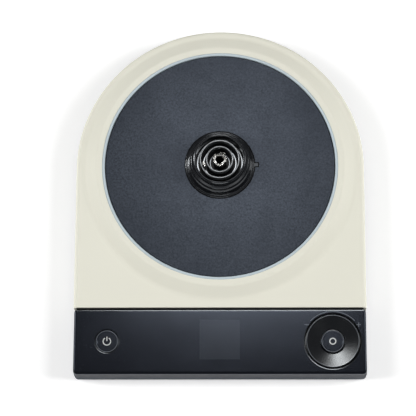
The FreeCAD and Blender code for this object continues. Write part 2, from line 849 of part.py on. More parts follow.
def make_switch(label, x):
    half = d.switch_side / 2
    low = board_top()
    case = box(label + "_case", x - half, x + half, CONTROL_Y - half, CONTROL_Y + half,
               low, low + d.switch_height)
    tip = cylinder(label + "_tip", 1.6, x, CONTROL_Y, low + d.switch_height - 0.2,
                   low + d.switch_height + SWITCH_TIP)
    keep(fuse(label + "_fuse", [case, tip]), label)


def make_dial():
    """Ring with a conical face that turns on the guide; its flange is held under the fascia."""
    bore = d.guide_radius + d.guide_play
    turned("dial", [
        (bore, 13.7),
        (12.4, 13.7),
        (12.4, 17.5),
        (d.dial_flange, 17.5),
        (d.dial_flange, 18.5),
        (d.dial_radius, 18.5),
        (d.dial_radius, d.dial_rim - 0.5),
        (d.dial_radius - 0.5, d.dial_rim, d.dial_radius - 0.15, d.dial_rim - 0.15),
        (d.dial_radius - 0.9, d.dial_rim - 0.1),
        (d.dial_eye + 0.6, d.dial_rim - DIAL_FALL),
        (d.dial_eye, d.dial_rim - DIAL_FALL - 0.3),
        (d.dial_eye, 18.7),
        (bore, 18.7),
    ], d.dial_x, CONTROL_Y)


def make_dial_magnet_ring():
    turned("dial_magnet_ring", [
        (12.45, 15.0),
        (16.0, 15.0),
        (16.0, 17.45),
        (12.45, 17.45),
    ], d.dial_x, CONTROL_Y)


def make_dial_guide():
    """Fixed sleeve on the board: the dial turns outside it and the start button slides inside."""
    low = board_top()
    turned("dial_guide", [
        (8.9, low),
        (12.0, low),
        (12.0, low + 0.7),
        (d.guide_radius, low + 0.7),
        (d.guide_radius, 18.5),
        (d.start_radius + 0.35, 18.5),
        (d.start_radius + 0.35, 16.7),
        (8.9, 16.7),
    ], d.dial_x, CONTROL_Y)


def make_start_button():
    stem_bottom = board_top() + d.switch_height + SWITCH_TIP + d.button_travel + 0.1
    body = turned("start_button", [
        (0.0, stem_bottom),
        (1.8, stem_bottom),
        (1.8, 15.6),
        (8.5, 15.6),
        (8.5, 16.5),
        (d.start_radius, 16.5),
        (d.start_radius, d.start_top - 0.45),
        (d.start_radius - 0.45, d.start_top, d.start_radius - 0.13, d.start_top - 0.13),
        (d.start_radius - 1.0, d.start_top),
        (d.start_radius - 1.25, d.start_top - CAP_DISH),
        (0.0, d.start_top - CAP_DISH),
    ], d.dial_x, CONTROL_Y)
    sunk = new_sketch(body, "start_symbol_groove", level=d.start_top - CAP_DISH + 1.0)
    draw_circle(sunk, 0.0, 0.0, START_SYMBOL + SYMBOL_LINE / 2)
    draw_circle(sunk, 0.0, 0.0, START_SYMBOL - SYMBOL_LINE / 2)
    pocket(body, sunk, "start_ring_groove", length=1.0 + SYMBOL_DEPTH)


def make_start_symbol():
    top = d.start_top - CAP_DISH
    hoop = ring("start_hoop", START_SYMBOL, d.dial_x, CONTROL_Y, top - SYMBOL_DEPTH, top + SYMBOL_PROUD)
    keep(hoop, "start_symbol")


def make_hall_sensors():
    chips = []
    for index, side in enumerate((-1, 1)):
        x = d.dial_x + side * 10.2
        y = CONTROL_Y + 10.2
        chips.append(box("hall_chip_%d" % index, x - 1.2, x + 1.2, y - 1.2, y + 1.2,
                         board_top(), board_top() + 1.0))
    group("dial_hall_sensors", chips)


# --------------------------------------------------------------------- control board


def make_control_board():
    body = new_body("control_board")
    outline = new_sketch(body, "control_board_outline", level=d.board_level)
    draw_outline(outline, rectangle(-80.0, 82.5, -d.control_reach - 13.0, -d.control_reach + 13.4))
    pad(body, outline, d.board_depth, "control_board_sheet")
    holes = new_sketch(body, "control_board_holes", level=d.board_level + d.board_depth + 1.0)
    for (x, side) in BOARD_SCREWS:
        draw_circle(holes, x, side - d.control_reach, d.small_shank + 0.2)
    pocket(body, holes, "control_board_drillings")
    place(body, 0.0, CENTRE_Y)
    keep(body, "control_board")


def make_control_chip():
    under = d.board_level
    case = box("control_chip_case", 18.0, 28.0, CONTROL_Y - 5.0, CONTROL_Y + 5.0, under - 1.6, under)
    keep(case, "control_chip")


def make_buzzer():
    low = d.board_level - 4.2
    shell = cylinder("buzzer_shell", 6.0, -30.0, CONTROL_Y, low, d.board_level)
    sound_hole = cylinder("buzzer_hole", 1.0, -30.0, CONTROL_Y, low - 1.0, low + 1.0)
    keep(cut("buzzer_cut", shell, sound_hole), "buzzer")


# ------------------------------------------------------------------------- connector

COVER_LEVEL = 14.0
COVER_DEPTH = 3.0
NEUTRAL_ANGLE = 196.0
EARTH_ANGLE = 45.0
SIGNAL_ANGLES = (254.0, 74.0)
SIGNAL_RADIUS = 6.4
TAB_ANGLE = 72.0
TAB_DEPTH = 0.9
TAB_HALF_WIDTH = 1.3
CONNECTOR_SCREWS = 3


def leaf_places():
    """Radius and angle of every leaf contact."""
    neutral = ((d.outer_ring + d.inner_ring) / 2, NEUTRAL_ANGLE)
    earth = ((d.slot_radius + d.outer_ring) / 2, EARTH_ANGLE)
    return [neutral, earth] + [(SIGNAL_RADIUS, angle) for angle in SIGNAL_ANGLES]


def connector_screw_places():
    places = []
    for index in range(CONNECTOR_SCREWS):
        x, y = polar(17.4, 90.0 + FULL_TURN * index / CONNECTOR_SCREWS)
        places.append((x, y))
    return places


def ring_tab(name, radius, degrees, low, high):
    """Small rib on the side of a ring, at this angle."""
    tab = box(name, radius, radius + TAB_DEPTH, -TAB_HALF_WIDTH, TAB_HALF_WIDTH, low, high)
    holder = group_of(name + "_turn", [tab])
    turn(holder, degrees)
    return holder


def make_connector_body():
    """Round boss in steps, with two thin rings standing in it and deep slots between them."""
    half_wall = d.ring_wall / 2
    turning = new_body("connector_turning")
    floor = d.slot_floor
    cavity = d.slot_floor - 2.0
    crest = d.connector_top - 0.6
    bottom = COVER_LEVEL + COVER_DEPTH
    revolve(turning, [
        (3.7, cavity),
        (d.slot_radius, cavity),
        (d.slot_radius, bottom),
        (d.neck_radius, bottom),
        (d.neck_radius, d.well_floor),
        (d.flange_radius, d.well_floor),
        (d.flange_radius, d.plate_top - 0.1),
        (d.flange_radius - 0.5, d.plate_top + 0.4, d.flange_radius - 0.15, d.plate_top + 0.25),
        (20.7, d.plate_top + 0.7),
        (20.1, d.plate_top + 1.4, 20.25, d.plate_top + 0.9),
        (19.6, d.plate_top + 4.6),
        (19.1, d.plate_top + 5.1, 19.45, d.plate_top + 4.95),
        (18.5, d.plate_top + 5.2),
        (18.3, d.plate_top + 7.4),
        (17.8, d.plate_top + 7.9, 18.15, d.plate_top + 7.75),
        (d.boss_radius, d.plate_top + 8.1),
        (d.boss_radius, d.connector_top - d.boss_round),
        (d.boss_radius - d.boss_round + 0.3, d.connector_top, d.boss_radius - 0.4, d.connector_top - 0.4),
        (d.slot_radius + 0.3, d.connector_top),
        (d.slot_radius, d.connector_top - 0.3, d.slot_radius + 0.09, d.connector_top - 0.09),
        (d.slot_radius, floor),
        (d.outer_ring + half_wall, floor),
        (d.outer_ring + half_wall, crest - half_wall),
        (d.outer_ring - half_wall, crest - half_wall, d.outer_ring, crest),
        (d.outer_ring - half_wall, floor),
        (d.inner_ring + half_wall, floor),
        (d.inner_ring + half_wall, crest - half_wall),
        (d.inner_ring - half_wall, crest - half_wall, d.inner_ring, crest),
        (d.inner_ring - half_wall, floor),
        (3.7, floor),
    ], "connector_turning")
    key = box("connector_key", d.neck_radius, d.key_length, -d.key_width / 2, d.key_width / 2,
              d.well_floor, d.plate_top)
    tabs = [
        ring_tab("outer_tab", d.outer_ring, TAB_ANGLE, floor - 0.5, crest - 0.6),
        ring_tab("inner_tab", d.inner_ring - TAB_DEPTH, SIGNAL_ANGLES[0], floor - 0.5, crest - 0.6),
    ]
    whole = fuse("connector_fuse", [turning, key] + tabs)
    tools = []
    for index, (radius, angle) in enumerate(leaf_places()):
        window = box("leaf_window_%d" % index, radius - 0.8, radius + 0.8,
                     -d.leaf_width / 2 - 0.3, d.leaf_width / 2 + 0.3, cavity - 1.0, floor + 0.2)
        holder = group_of("leaf_window_turn_%d" % index, [window])
        turn(holder, angle)
        tools.append(holder)
    for index, (x, y) in enumerate(connector_screw_places()):
        tools.append(cylinder("connector_pilot_%d" % index, d.small_shank + PILOT, x, y,
                              bottom - 1.0, bottom + 5.6))
    seal_outer = cylinder("seal_groove_outer", 21.45, 0.0, 0.0, d.well_floor - 1.0, d.well_floor + 0.85)
    seal_inner = cylinder("seal_groove_inner", 20.55, 0.0, 0.0, d.well_floor - 2.0, d.well_floor + 2.0)
    tools.append(cut("seal_groove", seal_outer, seal_inner))
    finished = cut("connector_cut", whole, fuse("connector_tools", tools))
    place(finished, 0.0, CENTRE_Y)
    keep(finished, "connector_body")


def make_connector_seal():
    seal = doc.addObject("Part::Torus", "connector_seal_ring")
    seal.Radius1 = 21.0
    seal.Radius2 = 0.42
    place(seal, 0.0, CENTRE_Y, d.well_floor + 0.42)
    keep(seal, "connector_seal")


def make_centre_contact():
    """Brass socket with a slit mouth on a solid tail."""
    top = d.connector_top - 1.5
    body = turned("centre_contact", [
        (0.0, 9.6),
        (1.4, 9.6),
        (1.4, 21.0),
        (3.6, 22.0),
        (3.6, d.slot_floor),
        (d.contact_radius - 0.7, d.slot_floor),
        (d.contact_radius - 0.7, top - 2.6),
        (d.contact_radius, top - 2.0),
        (d.contact_radius, top - 0.5),
        (d.contact_radius - 0.6, top),
        (d.contact_bore + 0.5, top),
        (d.contact_bore, top - 0.5),
        (d.contact_bore, 23.4),
        (0.0, 23.4),
    ])
    slit = new_sketch(body, "mouth_slit", level=top + 1.0)
    draw_outline(slit, rectangle(d.contact_bore - 0.8, d.contact_radius + 1.0, -0.35, 0.35))
    slit_pocket = pocket(body, slit, "mouth_slit_cut", length=5.0)
    polar_pattern(body, slit_pocket, 3, "mouth_slits")


def leaf(name, radius, angle, top):
    """Spring leaf on its edge, with a round contact at the top and a tail below the cover."""
    half = d.leaf_width / 2
    strip = box(name + "_strip", radius - d.leaf_depth / 2, radius + d.leaf_depth / 2, -half, half, 17.2, top)
    tail = box(name + "_tail", radius - d.leaf_depth / 2, radius + d.leaf_depth / 2, -1.0, 1.0, 9.6, 17.4)
    tip = doc.addObject("Part::Sphere", name + "_tip")
    tip.Radius = 0.85
    place(tip, radius, 0.0, size(top) - 0.6)
    whole = fuse(name + "_fuse", [strip, tail, tip])
    turn(whole, angle)
    place(whole, 0.0, CENTRE_Y)
    return whole


def make_leaf_contacts():
    neutral, earth = leaf_places()[:2]
    keep(leaf("neutral_leaf", neutral[0], neutral[1], d.connector_top - 1.6), "neutral_contact")
    keep(leaf("earth_leaf", earth[0], earth[1], d.connector_top - 7.5), "earth_contact")
    signals = []
    for index, angle in enumerate(SIGNAL_ANGLES):
        signals.append(leaf("signal_leaf_%d" % index, size(SIGNAL_RADIUS), angle, d.connector_top - 7.5))
    group("signal_contacts", signals)


def make_connector_cover():
    """Disc that closes the connector from below and clamps it against the podium."""
    turning = new_body("cover_turning")
    low = size(COVER_LEVEL)
    high = low + COVER_DEPTH
    revolve(turning, [
        (0.0, low),
        (24.0, low),
        (24.0, d.well_floor - 1.8),
        (d.neck_radius + 0.3, d.well_floor - 1.8),
        (d.neck_radius + 0.3, high),
        (0.0, high),
    ], "cover_turning")
    tools = [cylinder("cover_centre_hole", 1.6, 0.0, 0.0, low - 1.0, high + 1.0)]
    for index, (radius, angle) in enumerate(leaf_places()):
        window = box("cover_window_%d" % index, radius - 0.5, radius + 0.5, -1.2, 1.2, low - 1.0, high + 1.0)
        holder = group_of("cover_window_turn_%d" % index, [window])
        turn(holder, angle)
        tools.append(holder)
    for index, (x, y) in enumerate(connector_screw_places()):
        tools.append(cylinder("cover_drilling_%d" % index, d.small_shank + 0.15, x, y, low - 1.0, high + 1.0))
    finished = cut("cover_cut", turning, fuse("cover_tools", tools))
    place(finished, 0.0, CENTRE_Y)
    keep(finished, "connector_cover")


# ----------------------------------------------------------------------- power board


def make_power_board():
    body = new_body("power_board")
    outline = new_sketch(body, "power_board_outline", level=d.power_board_level)
    draw_outline(outline, rectangle(33.0, 77.0, -62.0, 16.0))
    pad(body, outline, d.board_depth, "power_board_sheet")
    holes = new_sketch(body, "power_board_holes", level=d.power_board_level + 3.0)
    for (x, y) in POWER_BOARD_SCREWS:
        draw_circle(holes, x, y, d.small_shank + 0.2)
    pocket(body, holes, "power_board_drillings")
    place(body, 0.0, CENTRE_Y)
    keep(body, "power_board")


def make_power_parts():
    top = d.power_board_level + d.board_depth

    def on_board(label, x0, x1, y0, y1, height):
        part = box(label + "_case", x0, x1, CENTRE_Y + y0, CENTRE_Y + y1, top, top + height)
        keep(part, label)

    on_board("relay", 40.0, 59.0, -12.0, 3.5, 10.0)
    core = box("transformer_core", 40.0, 60.0, CENTRE_Y - 50.0, CENTRE_Y - 32.0, top + 2.0, top + 9.0)
    coil = box("transformer_coil", 43.0, 57.0, CENTRE_Y - 53.0, CENTRE_Y - 29.0, top, top + 10.5)
    keep(fuse("transformer_fuse", [core, coil]), "transformer")
    capacitor = cylinder("capacitor_can", 5.0, 68.5, CENTRE_Y - 40.0, top, top + 10.5)
    keep(capacitor, "filter_capacitor")
    on_board("surge_filter", 62.5, 74.5, -24.0, -8.0, 9.0)
    fuse_body = doc.addObject("Part::Cylinder", "fuse_tube")
    fuse_body.Radius = 2.6
    fuse_body.Height = 20.0
    turn(fuse_body, 90.0, (1, 0, 0))
    place(fuse_body, 67.0, CENTRE_Y + 14.5, top + 3.4)
    keep(fuse_body, "mains_fuse")


def make_terminal_block():
    low = d.base_bottom + d.wall
    y0 = CENTRE_Y + 42.0
    y1 = CENTRE_Y + 53.0
    block = box("terminal_case", -15.0, 15.0, y0, y1, low, low + 10.0)
    tools = []
    for index, x in enumerate((-9.8, 0.0, 9.8)):
        bore = doc.addObject("Part::Cylinder", "terminal_bore_%d" % index)
        bore.Radius = 1.7
        bore.Height = 30.0
        turn(bore, -90.0, (1, 0, 0))
        place(bore, x, y0 - 5.0, 9.0)
        tools.append(bore)
        tools.append(cylinder("terminal_screw_%d" % index, 1.6, x, (y0 + y1) / 2, 11.0, low + 12.0))
    keep(cut("terminal_cut", block, fuse("terminal_tools", tools)), "terminal_block")


LEAD_RADIUS = 1.3
LEAD_LEVEL = 9.0


def tube(label, points, radius, bend):
    """Lead along straight runs joined by tangent arcs of one radius."""
    path = [FreeCAD.Vector(*[number(v) for v in point]) for point in points]
    edges = []
    start = path[0]
    for before, corner, after in zip(path, path[1:], path[2:]):
        arriving = (corner - before).normalize()
        leaving = (after - corner).normalize()
        half_angle = arriving.getAngle(leaving) / 2
        setback = bend * math.tan(half_angle)
        first = corner - arriving * setback
        last = corner + leaving * setback
        inward = (leaving - arriving).normalize()
        middle = corner + inward * (bend / math.cos(half_angle) - bend)
        edges.append(Part.LineSegment(start, first).toShape())
        edges.append(Part.Arc(first, middle, last).toShape())
        start = last
    edges.append(Part.LineSegment(start, path[-1]).toShape())
    spine = Part.Wire(edges)
    heading = path[1] - path[0]
    section = Part.Wire([Part.makeCircle(radius, path[0], heading)])
    thing = doc.addObject("Part::Feature", label + "_tube")
    thing.Shape = spine.makePipeShell([section], True, False)
    expected = math.pi * radius ** 2 * spine.Length
    if abs(thing.Shape.Volume / expected - 1.0) > 0.02:
        raise RuntimeError(label + " has the wrong volume")
    return keep(thing, label)


def make_leads():
    """Insulated leads from the terminal block and the power board to the contact tails."""
    terminal_y = number(CENTRE_Y) + 44.0
    neutral_x, neutral_y = polar(leaf_places()[0][0], NEUTRAL_ANGLE)
    earth_x, earth_y = polar(leaf_places()[1][0], EARTH_ANGLE)
    centre = number(CENTRE_Y)
    tail = 8.2
    tube("lead_neutral", [
        (-9.8, terminal_y, LEAD_LEVEL),
        (-9.8, centre + 30.0, LEAD_LEVEL),
        (number(neutral_x), centre + 18.0, tail),
        (number(neutral_x), centre + number(neutral_y), tail),
    ], LEAD_RADIUS, 8.0)
    tube("lead_live", [
        (0.0, terminal_y, LEAD_LEVEL),
        (0.0, centre + 30.0, LEAD_LEVEL),
        (0.3, centre + 16.0, tail),
        (0.3, centre, tail),
    ], LEAD_RADIUS, 8.0)
    tube("lead_earth", [
        (9.8, terminal_y, LEAD_LEVEL),
        (9.8, centre + 34.0, LEAD_LEVEL),
        (number(earth_x) + 0.3, centre + 22.0, tail),
        (number(earth_x) + 0.3, centre + number(earth_y), tail),
    ], LEAD_RADIUS, 8.0)
    tube("lead_signal", [
        (-1.8, centre - 4.6, tail),
        (-1.8, centre - 30.0, tail),
        (12.0, centre - 44.0, tail + 0.4),
        (32.5, centre - 44.0, tail + 1.4),
    ], LEAD_RADIUS, 8.0)


def make_control_ribbon():
    """Flat cable from the control board down to the power board."""
    body = new_body("control_ribbon")
    sketch = new_sketch(body, "ribbon_profile", "YZ_Plane", level=50.0)
    draw_outline(sketch, [
        (-104.0, 10.9),
        (-97.0, 9.6),
        (-66.0, 9.6),
        (-58.5, 9.2),
        (-58.5, 8.3),
        (-66.0, 9.0),
        (-97.0, 9.0),
        (-104.0, 10.3),
    ])
    pad(body, sketch, 12.0, "ribbon_strip")
    place(body, 0.0, CENTRE_Y)
    keep(body, "control_ribbon")


# ------------------------------------------------------------------------ cord entry


def make_cord_gland():
    """Rubber bush in the rear wall, held by a flange inside."""
    body = new_body("cord_gland")
    inner = 84.6
    shoulder = 87.7
    outer = d.half_width - 0.2
    revolve(body, [
        (d.cord_bore, inner),
        (d.gland_flange, inner),
        (d.gland_flange, shoulder),
        (d.gland_neck, shoulder),
        (d.gland_neck, outer - 0.5),
        (d.gland_neck - 0.5, outer),
        (d.cord_bore + 0.6, outer),
        (d.cord_bore, outer - 0.6),
    ], "gland_turning")
    turn(body, -90.0, (1, 0, 0))
    place(body, 0.0, CENTRE_Y, d.split_level)
    keep(body, "cord_gland")


def make_cord_clamp():
    low = d.split_level + d.cord_bore + 0.1
    y = CENTRE_Y + CLAMP_REACH
    bar = box("clamp_bar", -CLAMP_X - 3.0, CLAMP_X + 3.0, y - 3.0, y + 3.0, low, low + 2.4)
    drillings = [
        cylinder("clamp_hole_%d" % index, d.small_shank + 0.15, x, y, low - 1.0, low + 4.0)
        for index, x in enumerate((-CLAMP_X, CLAMP_X))
    ]
    keep(cut("clamp_cut", bar, fuse("clamp_holes", drillings)), "cord_clamp")


def make_feet():
    for label, (x, y) in FEET.items():
        turned(label, [
            (0.0, 0.0),
            (d.pad_radius - 1.2, 0.0),
            (d.pad_radius - 0.4, 0.8, d.pad_radius - 0.62, 0.22),
            (d.pad_radius, d.base_bottom - 0.2),
            (d.pad_radius, d.base_bottom + d.pad_recess),
            (0.0, d.base_bottom + d.pad_recess),
        ], x, CENTRE_Y + y)


# -------------------------------------------------------------------------- fasteners


def make_screws():
    seat = d.base_bottom + 2.6
    housing = [(x, CENTRE_Y + y) for (x, y) in HOUSING_SCREWS]
    screws("housing_screws", housing, seat, d.screw_head, d.screw_shank, 12.0)
    fascia = [(x, CONTROL_Y + side) for (x, side) in FASCIA_SCREWS]
    screws("fascia_screws", fascia, seat, d.small_head, d.small_shank, 12.0)
    board = [(x, CONTROL_Y + side) for (x, side) in BOARD_SCREWS]
    screws("control_board_screws", board, d.board_level, d.small_head, d.small_shank, 6.0)
    power = [(x, CENTRE_Y + y) for (x, y) in POWER_BOARD_SCREWS]
    screws("power_board_screws", power, d.power_board_level + d.board_depth, d.small_head,
           d.small_shank, 4.0, points_up=False)
    connector = [(x, CENTRE_Y + y) for (x, y) in connector_screw_places()]
    screws("connector_screws", connector, size(COVER_LEVEL), d.small_head, d.small_shank, 8.0)
    clamp = [(x, CENTRE_Y + CLAMP_REACH) for x in (-CLAMP_X, CLAMP_X)]
    screws("cord_clamp_screws", clamp, d.split_level + d.cord_bore + 2.5, d.small_head,
           d.small_shank, 8.0, points_up=False)


# ------------------------------------------------------------------------- build all

make_upper_housing()
make_lower_housing()
make_kettle_plate()
make_trim_ring()
make_ring_light_board()
make_control_fascia()
make_display()
make_power_button()
make_power_symbol()
make_dome("power_button_dome", -d.power_x, 16.35, 5.3, 3.4)
make_switch("power_switch", -d.power_x)
make_dial()
make_dial_magnet_ring()
make_dial_guide()
make_start_button()
make_start_symbol()
make_dome("start_button_dome", d.dial_x, 15.55, 5.6, 4.4)
make_switch("start_switch", d.dial_x)
make_hall_sensors()
make_control_board()
make_control_chip()
make_buzzer()
make_connector_body()
make_connector_seal()
make_centre_contact()
make_leaf_contacts()
make_connector_cover()
make_power_board()
make_power_parts()
make_terminal_block()
make_leads()
make_control_ribbon()
make_cord_gland()
make_cord_clamp()
make_feet()
make_screws()
doc.recompute()

for thing in doc.Objects:
    if "Invalid" in thing.State or "Error" in thing.State:
        raise RuntimeError("%s did not recompute: %s" % (thing.Label, thing.State))
for node in nodes:
    if node.Shape.isNull() or not node.Shape.isValid():
        raise RuntimeError(node.Label + " has no valid shape")

os.makedirs("parts", exist_ok=True)
for node in nodes:
    node.Shape.exportStep(os.path.join("parts", node.Label + ".step"))
print("%d sub-parts written" % len(nodes))
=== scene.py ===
import json
import math

import bmesh
import bpy
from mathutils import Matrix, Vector


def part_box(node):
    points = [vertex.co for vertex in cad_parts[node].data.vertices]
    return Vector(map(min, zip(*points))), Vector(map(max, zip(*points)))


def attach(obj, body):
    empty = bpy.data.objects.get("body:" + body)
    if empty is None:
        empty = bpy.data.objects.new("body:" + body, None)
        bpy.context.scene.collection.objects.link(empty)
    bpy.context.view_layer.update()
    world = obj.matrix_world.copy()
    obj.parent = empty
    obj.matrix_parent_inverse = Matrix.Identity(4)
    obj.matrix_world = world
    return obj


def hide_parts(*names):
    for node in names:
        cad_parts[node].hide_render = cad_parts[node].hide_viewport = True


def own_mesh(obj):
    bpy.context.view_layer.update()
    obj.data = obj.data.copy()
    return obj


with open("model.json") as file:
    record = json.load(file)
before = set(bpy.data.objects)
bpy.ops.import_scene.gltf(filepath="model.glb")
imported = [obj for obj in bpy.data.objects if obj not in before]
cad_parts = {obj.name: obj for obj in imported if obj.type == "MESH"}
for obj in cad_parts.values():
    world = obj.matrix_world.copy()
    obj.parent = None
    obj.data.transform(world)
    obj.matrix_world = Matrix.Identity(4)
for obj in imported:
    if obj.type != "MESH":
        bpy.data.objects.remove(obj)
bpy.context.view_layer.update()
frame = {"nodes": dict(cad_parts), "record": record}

# Power base of a cordless kettle. Everything is in metres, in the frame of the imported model:
# +Z up, the controls face -Y, the origin is on the table under the middle of the base.

MM = 0.001
COOL = (0.70, 0.80, 1.0)
COOL_POLISH = (0.9, 0.96, 1.0)
scene = bpy.context.scene
scene.view_settings.view_transform = "Standard"
scene.view_settings.look = "None"


def middle_of(node):
    """Middle of a node's box."""
    low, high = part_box(node)
    return [(start + end) / 2 for start, end in zip(low, high)]


CENTRE = middle_of("kettle_plate")
DIAL = middle_of("dial")
POWER = middle_of("power_button")
FASCIA_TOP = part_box("control_fascia")[1][2]
FASCIA_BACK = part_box("control_fascia")[1][1]

# ------------------------------------------------------------------ materials

# Noise: bumps per metre. The plate's painted pool of light, a paler middle, fades out between these radii.
MOTTLE_SCALE = 18.0
UNEVEN_SCALE = 41.4
GLOSS_SHADE = 0.88
GLOW_INNER = 30.0 * MM
GLOW_OUTER = 74.0 * MM

# Connector: radii about its axis, and fades between two levels above or below the socket's mouth.
ZONE_FADE = 0.1 * MM
KEY_START = 22.0 * MM
CREST_RADIUS = 13.2 * MM
CREST_FADE = (0.3 * MM, 0.7 * MM)
WELL_RADIUS = 15.05 * MM
WELL_FADE = (-0.4 * MM, -0.8 * MM)
WELL_DULL = 0.6

# Metal tracks on the floor of the slots: level of the floor, and inner and outer radius of each.
SLOT_FLOOR = 29.0 * MM
SLOT_FADE = (0.2 * MM, 0.1 * MM)
SLOT_TRACKS = ((13.7 * MM, 14.4 * MM), (9.8 * MM, 10.4 * MM), (5.9 * MM, 6.2 * MM))
TRACK_FADE = 0.15 * MM
TRACK_POLISH = 0.55

# Fascia's duller skirt below its top, and the painted highlight rings on the caps as inner and outer
# radius.
SKIRT_FADE = (-1.5 * MM, -2.0 * MM)
SKIRT_DULL = 0.45
RING_FADE = 0.08 * MM
POWER_EDGE = (6.45 * MM, 6.9 * MM)
START_EDGE = (6.5 * MM, 6.95 * MM)
DIAL_RIM = (15.95 * MM, 16.45 * MM)


class Nodes:
    """Small helper that adds nodes to one material and links them."""

    def __init__(self, name):
        self.material = bpy.data.materials.new(name)
        self.material.use_nodes = True
        self.tree = self.material.node_tree
        self.shader = self.tree.nodes["Principled BSDF"]
        self.coords = self.tree.nodes.new("ShaderNodeTexCoord").outputs["Object"]

    def add(self, kind, **settings):
        node = self.tree.nodes.new(kind)
        for key, value in settings.items():
            setattr(node, key, value)
        return node

    def link(self, source, target):
        self.tree.links.new(source, target)

    def noise(self, scale, detail, roughness=0.55, distortion=0.0):
        node = self.add("ShaderNodeTexNoise")
        node.inputs["Scale"].default_value = scale
        node.inputs["Detail"].default_value = detail
        node.inputs["Roughness"].default_value = roughness
        node.inputs["Distortion"].default_value = distortion
        self.link(self.coords, node.inputs["Vector"])
        return node.outputs["Fac"]

    def spread(self, source, low, high, from_low=0.3, from_high=0.7):
        node = self.add("ShaderNodeMapRange")
        node.inputs["From Min"].default_value = from_low
        node.inputs["From Max"].default_value = from_high
        node.inputs["To Min"].default_value = low
        node.inputs["To Max"].default_value = high
        self.link(source, node.inputs["Value"])
        return node.outputs["Result"]

    def blend_colours(self, factor, first, second):
        node = self.add("ShaderNodeMix")
        node.data_type = "RGBA"
        self.link(factor, node.inputs[0])
        for socket, colour in ((node.inputs[6], first), (node.inputs[7], second)):
            if isinstance(colour, tuple):
                socket.default_value = (*colour, 1.0)
            else:
                self.link(colour, socket)
        return node.outputs[2]

    def multiply_colours(self, first, second):
        node = self.add("ShaderNodeMix")
        node.data_type = "RGBA"
        node.blend_type = "MULTIPLY"
        node.inputs[0].default_value = 1.0
        self.link(first, node.inputs[6])
        self.link(second, node.inputs[7])
        return node.outputs[2]

    def combine(self, operation, first, second):
        """One arithmetic step on two values."""
        node = self.add("ShaderNodeMath", operation=operation)
        self.link(first, node.inputs[0])
        self.link(second, node.inputs[1])
        return node.outputs[0]

    def product(self, first, second):
        return self.combine("MULTIPLY", first, second)

    def largest(self, first, second):
        return self.combine("MAXIMUM", first, second)

    def total(self, first, second):
        return self.combine("ADD", first, second)

    def difference(self, first, second):
        return self.combine("SUBTRACT", first, second)

    def level_mask(self, low, high):
        """0 below the low level and 1 above the high one, in metres."""
        parts = self.add("ShaderNodeSeparateXYZ")
        self.link(self.coords, parts.inputs[0])
        return self.spread(parts.outputs["Z"], 0.0, 1.0, low, high)

    def radius_mask(self, inner, outer, inverted=False, centre=CENTRE):
        """0 inside the inner radius about an upright axis and 1 outside the outer one."""
        shift = self.add("ShaderNodeVectorMath", operation="SUBTRACT")
        shift.inputs[1].default_value = (centre[0], centre[1], 0.0)
        self.link(self.coords, shift.inputs[0])
        flat = self.add("ShaderNodeVectorMath", operation="MULTIPLY")
        flat.inputs[1].default_value = (1.0, 1.0, 0.0)
        self.link(shift.outputs["Vector"], flat.inputs[0])
        length = self.add("ShaderNodeVectorMath", operation="LENGTH")
        self.link(flat.outputs["Vector"], length.inputs[0])
        ends = (1.0, 0.0) if inverted else (0.0, 1.0)
        return self.spread(length.outputs["Value"], *ends, inner, outer)

    def ring_mask(self, centre, inner, outer):
        """1 in a thin ring about an upright axis and 0 elsewhere."""
        return self.product(self.radius_mask(inner, inner + RING_FADE, centre=centre),
                            self.radius_mask(outer - RING_FADE, outer, inverted=True, centre=centre))

    def grain(self, source, depth):
        """Fine relief of this depth on the whole surface."""
        node = self.add("ShaderNodeBump")
        node.inputs["Strength"].default_value = 1.0
        node.inputs["Distance"].default_value = depth
        self.link(source, node.inputs["Height"])
        self.link(node.outputs["Normal"], self.shader.inputs["Normal"])

    def set(self, **values):
        """Constants on the shader's own sockets."""
        for key, value in values.items():
            self.shader.inputs[key.replace("_", " ")].default_value = value

    def tint(self, colour):
        """Colour of the shader's reflections."""
        self.shader.inputs["Specular Tint"].default_value = (*colour, 1.0)

    def fed_by(self, socket):
        """What already feeds one of the shader's sockets."""
        return self.shader.inputs[socket].links[0].from_socket

    def feed(self, source, socket):
        """Link a value or colour to one of the shader's sockets."""
        self.link(source, self.shader.inputs[socket])


def plastic(name, colour, shade, rough, grain_scale, grain_depth, specular=0.5,
            rough_spread=0.05, tint=(1.0, 1.0, 1.0)):
    """Moulded plastic: slight colour drift, moulded grain and uneven roughness."""
    n = Nodes(name)
    mottle = n.spread(n.noise(MOTTLE_SCALE, detail=5.0), 0.0, 1.0)
    n.feed(n.blend_colours(mottle, colour, shade), "Base Color")
    uneven = n.noise(UNEVEN_SCALE, detail=6.0)
    n.feed(n.spread(uneven, rough - rough_spread, rough + rough_spread), "Roughness")
    n.grain(n.noise(grain_scale, detail=2.0), grain_depth)
    n.set(Specular_IOR_Level=specular)
    n.tint(tint)
    return n


def gloss(name, colour, rough, specular=0.5, tint=COOL):
    """Polished dark plastic with a cool reflection and faint dust."""
    shade = tuple(GLOSS_SHADE * level for level in colour)
    n = plastic(name, colour, shade, rough, 700.0, 0.0004 * MM, specular, rough_spread=0.012, tint=tint)
    specks = n.noise(1400.0, detail=2.0, roughness=0.7)
    dust = n.spread(specks, 0.0, 0.10, from_low=0.66, from_high=0.80)
    n.feed(n.blend_colours(dust, n.fed_by("Base Color"), (0.30, 0.31, 0.33)), "Base Color")
    return n


def metal(name, colour, shade, rough):
    """Plated metal with uneven tarnish."""
    n = Nodes(name)
    mottle = n.spread(n.noise(420.0, detail=5.0), 0.0, 1.0, from_low=0.35, from_high=0.65)
    n.feed(n.blend_colours(mottle, colour, shade), "Base Color")
    n.feed(n.spread(n.noise(500.0, detail=4.0), rough * 0.6, rough * 1.5), "Roughness")
    n.grain(n.noise(900.0, detail=3.0), 0.01 * MM)
    n.set(Metallic=1.0)
    return n


